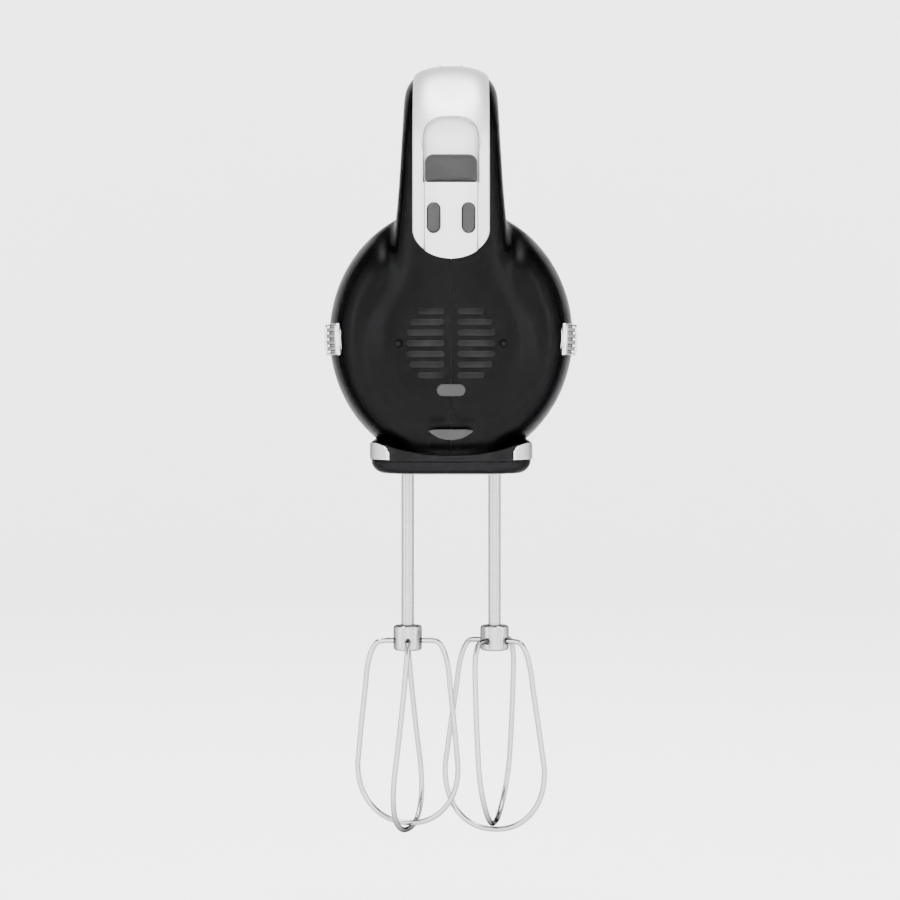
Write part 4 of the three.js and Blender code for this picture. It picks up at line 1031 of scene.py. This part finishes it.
def base_plan(count=420):
    """Outline of the base: round rear corners, straight sides, and half an ellipse at the front."""
    turn = np.linspace(0, np.pi / 2, 60)
    half_turn = np.linspace(0, np.pi, 140)
    corner_x, corner_y = BASE_HALF - BASE_CORNER, BASE_REAR + BASE_CORNER
    nose_y = BASE_FRONT - BASE_NOSE + BASE_NOSE * np.sin(half_turn)
    front = np.stack([BASE_HALF * np.cos(half_turn), nose_y], 1)
    left = np.stack([-corner_x - BASE_CORNER * np.cos(turn), corner_y - BASE_CORNER * np.sin(turn)], 1)
    right = np.stack([corner_x + BASE_CORNER * np.sin(turn), corner_y - BASE_CORNER * np.cos(turn)], 1)
    loop = np.vstack([front, left, right, front[:1]])
    far = np.concatenate([[0], np.cumsum(np.linalg.norm(np.diff(loop, axis=0), axis=1))])
    keep = np.concatenate([[True], np.diff(far) > 1e-6])
    even = np.linspace(0, far[-1], count, endpoint=False)
    return np.stack([np.interp(even, far[keep], loop[keep, k]) for k in (0, 1)], 1)


def rim_height(x, y):
    """Height of the tray's rim: 12 all round, dipping to 7.6 in the middle of the rear."""
    dip = 4.4 * (1 - np.clip(np.abs(x) / 25.5, 0, 1) ** 2.2)
    return BASE_TOP - dip * smoothstep((-76 - y) / 8)


plan = base_plan()


def level(amount, z):
    """A ring of the tray: the outline moved inward, at one height or at a height for each point."""
    return np.column_stack([inset(plan, amount), np.full(len(plan), z)])


quarter = np.linspace(0, np.pi / 2, 9)[1:-1]
rings = [(9.0, BASE_FOOT), (5.0, BASE_FOOT)]
rings += [(BASE_ROUND * (1 - np.sin(a)), BASE_FOOT + BASE_ROUND * (1 - np.cos(a))) for a in quarter]
rings += [(0.05, 4.95), (0.32, 5.05), (0.32, 5.3), (0.0, 5.45)]
rim = rim_height(plan[:, 0], plan[:, 1])
rings += [(0.0, rim - 0.5), (0.08, rim - 0.2), (0.3, rim - 0.04), (0.6, rim), (1.35, rim), (1.5, rim - 0.15)]
grid = [np.column_stack([plan * 0.3, np.full(len(plan), BASE_FOOT)])] + [level(*ring) for ring in rings]
grid += [level(1.5, BASE_FLOOR), np.column_stack([plan * 0.3, np.full(len(plan), BASE_FLOOR)])]
base = grid_piece("base_tray", np.stack(grid), BAND, "housing", ("base_housing",))
cut_with([base], [upright_prism(circle(6.6), side * BEATER_X, 0, -3, 20) for side in (-1, 1)])

# %% Trims
TRIM_FOOT, TRIM_TOP, LOBE_TIP, LOBE_LENGTH = 5.75, 11.9, 26.5, 5.2


def trim_path(side):
    """The stretch of the base's outline that one trim covers: past 21.3 from the middle at the rear, and past
    18.1 at the front."""
    loop = np.vstack([plan, plan])
    x, y = np.abs(loop[:, 0]), loop[:, 1]
    covered = (loop[:, 0] * side > 0) & ((x > 21.3) | (y > -60)) & ((x > 18.1) | (y < 0))
    start = np.argmax(~covered)
    start = start + np.argmax(covered[start:])
    return loop[start:start + np.argmax(~covered[start:])]


def trim(word, side):
    """A trim: its rear end is a lobe with an elliptical top edge, and its face bulges by up to 0.5."""
    path = trim_path(side)
    ahead = np.gradient(path, axis=0)
    normal = np.stack([ahead[:, 1], -ahead[:, 0]], 1) / np.linalg.norm(ahead, axis=1)[:, None]
    from_middle = np.abs(path[:, 0])
    in_lobe = (path[:, 1] < -70) & (from_middle < LOBE_TIP)
    lobe = np.where(in_lobe, np.clip((LOBE_TIP - from_middle) / LOBE_LENGTH, 0, 0.995), 0)
    top = np.where(in_lobe, 6.6 + LOBE_LENGTH * np.sqrt(1 - lobe ** 2), TRIM_TOP)[:, None]
    z = TRIM_FOOT + (top - TRIM_FOOT) * np.linspace(0, 1, 25)[None]
    edge = np.clip(np.minimum(z - TRIM_FOOT, top - z) / 0.5, 0, 1)
    crown = 0.08 + 0.42 * np.sqrt(1 - (1 - edge) ** 2)

    def place(_, z, h):
        x, y = (path[:, None, k] + normal[:, None, k] * h for k in (0, 1))
        return np.stack([x, y, z], -1)

    slab("chrome_trim_" + word, None, z, crown, 0 * crown + 0.02, place, CHROME, "housing",
         ("side_trim_" + word,))
    print("trim", word, "path", len(path))


trim("left", -1)
trim("right", 1)

# %% Underside plate
_, PLATE_HIGH, PLATE_MIDDLE = node_box("underside_plate")
plate_half = PLATE_HIGH - PLATE_MIDDLE
plate = pad("socket_plate", rounded_rect(plate_half[0], plate_half[1], 14, 24),
            lambda a, b, h: np.stack([a, b + PLATE_MIDDLE[1], -h], -1), SILVER, "housing",
            ("underside_plate",), depth=0.78, bevel=0.3)
plate_holes = [(-BEATER_X, 0, 6.2), (BEATER_X, 0, 6.2), (0, -58, 1.8), (0, 22, 1.8)]
cut_with([plate], [upright_prism(circle(radius), x, y, -3, 3) for x, y, radius in plate_holes])
print("base outline", len(plan), "plate holes", len(plate_holes))

# %% [markdown]
# ## Controls
# The slider, the display window, the eject button and the turbo button sit along the handle strip. They could
# be part of the strip, but each moving one rides on the body of its own joint, so it is a piece of its own
# and keeps the place of the CAD node it stands for. The slider and the turbo button have stems behind them.

# %% Controls
THUMB_HALF_ALONG, THUMB_HALF_ACROSS = 5.0, 4.6
u = np.linspace(-1, 1, 61)[:, None] + np.zeros((1, 41))
v = np.linspace(-1, 1, 41)[None] + np.zeros((61, 1))
ends = np.sqrt(1 - 0.35 * np.abs(u) ** 9)
edge = np.minimum(THUMB_HALF_ALONG * (1 - np.abs(u)), THUMB_HALF_ACROSS * (1 - np.abs(v)))
edge = np.clip(edge / 0.7, 0, 1)
ridge = 0.38 * smoothstep((np.cos(u * np.pi * 4.5) - 0.1) / 0.7) * smoothstep((0.78 - np.abs(v)) / 0.1)
top = 2.28 - 0.6 * (1 - np.sqrt(1 - (1 - edge) ** 2)) - ridge * (np.abs(u) < 0.75) * (edge > 0.98)
slab("slider_thumb", THUMB_HALF_ALONG * u, THUMB_HALF_ACROSS * v * ends, top, 0 * top + 0.75,
     lambda b, a, h: on_thumb(a, b, h), CHROME, "slider", ("speed_slider",), sharp=40)
pad("slider_stem", rounded_rect(2.1, 3.0, 1.5), lambda a, b, h: on_thumb(a, b, h + 0.9), GREY, "slider", (),
    depth=7.4, bevel=0.1)
pad("window", rounded_rect(9.0, 5.5, 1.8, 16), lambda a, b, h: on_show(a, b, h - 0.62 - 0.0035 * a * a),
    SMOKED, "housing", ("display_window",), depth=1.5, bevel=0.25)


def on_eject(a, b, h):
    """Places the eject button's cap: level, and curved down by 0.012 b^2 to follow the handle."""
    return np.stack([a, b + eject_at[0], eject_at[1] + 2.2 + h - 0.012 * b * b], -1)


def on_turbo(sunk):
    """Places a piece on the turbo button's axis, sunk into its face."""
    return lambda a, b, h: np.stack([a, TURBO_FACE - sunk + h, b + TURBO_Z], -1)


pad("eject_cap", circle(EJECT_RADIUS, 96), on_eject, GREY, "eject", ("eject_button",),
    depth=7.5, bevel=0.7, dome=0.15)
pad("turbo_cap", circle(TURBO_RADIUS, 96), on_turbo(0.55), CHROME, "turbo", ("turbo_button",),
    depth=4.4, bevel=0.8, dome=0.5)
pad("turbo_stem", circle(2.0, 32), on_turbo(5.0), GREY, "turbo", (), depth=6.8, bevel=0.2)
print("controls made")

# %% [markdown]
# ## Beaters
# Each beater is a turned shaft with two pressed lugs, a collar, and two wire loops. A loop is one wire: it
# leaves the collar level, bends down, swells to its widest low on the whisk and crosses under at the bottom.
# A curve object with a round bevel could do this, but its tube may twist at the foot. Here the centre line is
# a smooth curve through a few chosen radii, turned slightly about the shaft with height, and the tube around
# it uses a frame made from the plane of the loop, so it never twists.

# %% Beaters
COLLAR_TOP, SHAFT_TOP = node_box("beater_collar_right")[1][2], node_box("beater_shaft_right")[1][2]
WIRE, WHISK, WIDEST_Z, WHISK_FOOT, TWIST = 1.02, 19.9, -116.0, -138.6, np.radians(0.3)
WIRE_TOP = COLLAR_TOP - 6
# Each leg goes through these shares of the height from collar to widest point and of the widest radius.
LEG_SHARES = [0, 0.001, 0.014, 0.076, 0.192, 0.384, 0.614, 0.846, 1]
LEG_RADII = [0, 0.46, 0.588, 0.693, 0.774, 0.829, 0.899, 0.965, 1]
# The profiles hold a radius and a height at each corner.
SHAFT_PROFILE = [(0.4, COLLAR_TOP - 3), (2.1, COLLAR_TOP - 3), (2.4, COLLAR_TOP - 2.7), (2.4, -30), (2.4, 0),
                 (2.4, 30), (2.4, SHAFT_TOP - 1), (1.7, SHAFT_TOP - 0.1), (0.4, SHAFT_TOP)]
COLLAR_PROFILE = [(radius, COLLAR_TOP + rise) for radius, rise in (
    (0.5, -9.8), (4.2, -9.8), (5.0, -9.55), (5.4, -9.15), (5.5, -8.6), (5.5, -7.4), (5.5, -4.6), (5.5, -1.2),
    (5.4, -0.65), (5.0, -0.25), (4.4, -0.02), (3.2, 0), (2.75, -0.2), (2.72, -3.2), (0.5, -3.2))]


def lathe(profile, x, count=64):
    """A profile of (radius, z) turned about the vertical line at x."""
    turn = np.linspace(0, 2 * np.pi, count, endpoint=False)
    profile = np.asarray(profile, float)
    return np.stack([x + profile[:, :1] * np.cos(turn), profile[:, :1] * np.sin(turn),
                     profile[:, 1:] + 0 * turn[None]], -1)


def loop_line(x, first, hand, lift, count=300):
    """Centre line of a wire loop and its plane's angle at each point: the angle is `first` at the collar, and
    turns by TWIST for each millimetre below it. Below the widest point the leg is a quarter of an oval."""
    half = [(5.2 if r == 0 else r * WHISK, WIRE_TOP + s * (WIDEST_Z - WIRE_TOP))
            for s, r in zip(LEG_SHARES, LEG_RADII)]
    foot = WHISK_FOOT + lift
    for a in np.radians((20, 38, 54, 68, 80)):
        half.append((WHISK * np.cos(a) ** 0.9, WIDEST_Z - (WIDEST_Z - foot) * np.sin(a)))
    both = np.array(half + [(0.0, foot)] + [(-r, z) for r, z in half[::-1]])
    angle = first + hand * TWIST * (WIRE_TOP - both[:, 1])
    stations = np.stack([x + both[:, 0] * np.cos(angle), both[:, 0] * np.sin(angle), both[:, 1]], 1)
    line = catmull(stations, count, 3)
    return line, first + hand * TWIST * (WIRE_TOP - line[:, 2])


def tube(line, angle, radius, count=20):
    """A tube round a line: across is the normal of the loop's plane made square to the line, and up completes
    the frame."""
    ahead = np.gradient(line, axis=0)
    ahead /= np.linalg.norm(ahead, axis=1)[:, None]
    across = np.stack([-np.sin(angle), np.cos(angle), 0 * angle], 1)
    across -= (across * ahead).sum(1)[:, None] * ahead
    across /= np.linalg.norm(across, axis=1)[:, None]
    up = np.cross(ahead, across)
    turn = np.linspace(0, 2 * np.pi, count, endpoint=False)[None, :, None]
    return line[:, None] + radius * (across[:, None] * np.cos(turn) + up[:, None] * np.sin(turn))


def collar_bore(x, angle):
    """A round hole into the collar at the wires' height, along one direction."""
    radial = np.array([np.cos(angle), np.sin(angle), 0])
    aside = np.array([-np.sin(angle), np.cos(angle), 0])
    upward = np.array([0, 0, 1.0])
    return prism(circle(1.35, 24), lambda a, b, h: (
        a[:, None] * aside + b[:, None] * upward + [x, 0, WIRE_TOP] + h[:, None] * radial), 3.6, 8)


for word, x, first, hand, lower in (("left", -BEATER_X, 1.3, -1, "b"), ("right", BEATER_X, -32.4, 1, "a")):
    body, first = word + "_beater", np.radians(first)
    grid_piece("shaft_" + word, lathe(SHAFT_PROFILE, x), SHAFT, body, ("beater_shaft_" + word,),
               sharp=35)
    pad("shaft_lugs_" + word, rounded_rect(4.1, 4.0, 0.8, 8),
        lambda a, b, h, x=x: np.stack([x + a, -0.6 - h, b + 8.0], -1), SHAFT, body, (),
        depth=1.2, bevel=0.2, sharp=35)
    collar = grid_piece("collar_" + word, lathe(COLLAR_PROFILE, x, 96), SHAFT, body,
                        ("beater_collar_" + word,), sharp=35)
    cut_with([collar], [collar_bore(x, first + k * np.pi / 2) for k in range(4)])
    for letter in ("a", "b"):
        lift = 0.0 if letter == lower else 2 * WIRE + 0.45
        line, angle = loop_line(x, first + (np.pi / 2 if letter == "b" else 0), hand, lift)
        loop_name = "%s_%s" % (word, letter)
        grid_piece("wire_loop_" + loop_name, tube(line, angle, WIRE), STEEL, body,
                   ("whisk_loop_" + loop_name,))
print("wire points", len(line))

# %% [markdown]
# ## Stage
# A pale seamless floor that curves up into a wall all round, under a pale sky, so the object is seen against
# white from every side. It lies below the beaters even when they are pulled out. Large soft lights stand on
# both sides, overhead and in front.

# %% Floor and lights
floor_finish = finish("floor_pale", (0.92, 0.92, 0.92), 0.75, grain=(300.0, 0.01, 0.02), tint=0.004)
FLOOR_Z, FLOOR_FLAT, FLOOR_BEND, WALL_TOP, FLOOR_SIDES = -198.0, 1900, 500, 1800.0, 96
sweep = [(1.0, FLOOR_Z), (500.0, FLOOR_Z), (1500.0, FLOOR_Z)]
sweep += [(FLOOR_FLAT + FLOOR_BEND * np.sin(a), FLOOR_Z + FLOOR_BEND * (1 - np.cos(a)))
          for a in np.linspace(0, np.pi / 2, 24)]
sweep += [(FLOOR_FLAT + FLOOR_BEND, WALL_TOP)]
ground = lathe(sweep, 0, FLOOR_SIDES)
ground_faces = grid_faces(len(sweep), FLOOR_SIDES)[:, ::-1].tolist() + [list(range(FLOOR_SIDES))]
ground_mesh = bpy.data.meshes.new("floor")
ground_mesh.from_pydata((ground.reshape(-1, 3) * MM).tolist(), [], ground_faces)
ground_mesh.polygons.foreach_set("use_smooth", np.full(len(ground_mesh.polygons), True))
ground_mesh.materials.append(floor_finish)
ground_object = bpy.data.objects.new("floor", ground_mesh)
scene.collection.objects.link(ground_object)


def area_light(name, place, aim, size, power):
    """A rectangular soft light at a place in metres, turned towards a point."""
    data = bpy.data.lights.new(name, "AREA")
    data.shape = "RECTANGLE"
    data.size, data.size_y = size
    data.energy = power
    lamp = bpy.data.objects.new(name, data)
    lamp.location = place
    lamp.rotation_euler = (Vector(aim) - Vector(place)).to_track_quat("-Z", "Y").to_euler()
    scene.collection.objects.link(lamp)


area_light("side_left", (-1.1, -0.5, 0.2), (0, 0, 0.05), (0.3, 1.4), 7)
area_light("side_right", (1.1, -0.5, 0.2), (0, 0, 0.05), (0.3, 1.4), 7)
area_light("overhead", (0, -0.1, 1.7), (0, 0.0, 0), (1.2, 1.8), 13)
area_light("front_fill", (0, -1.9, 0.5), (0, 0, 0.0), (0.5, 1.2), 8)
for index, turn_z in enumerate(np.radians([90, 210, 330])):
    spot = Vector((0.6 * np.cos(turn_z), 0.6 * np.sin(turn_z), 1.9))
    area_light("wall_%d" % index, spot, (2.2 * np.cos(turn_z), 2.2 * np.sin(turn_z), 0.3), (1.2, 1.2), 100)
world = bpy.data.worlds.new("studio")
world.use_nodes = True
world.node_tree.nodes["Background"].inputs["Color"].default_value = (1, 1, 1, 1)
world.node_tree.nodes["Background"].inputs["Strength"].default_value = 0.3
scene.world = world
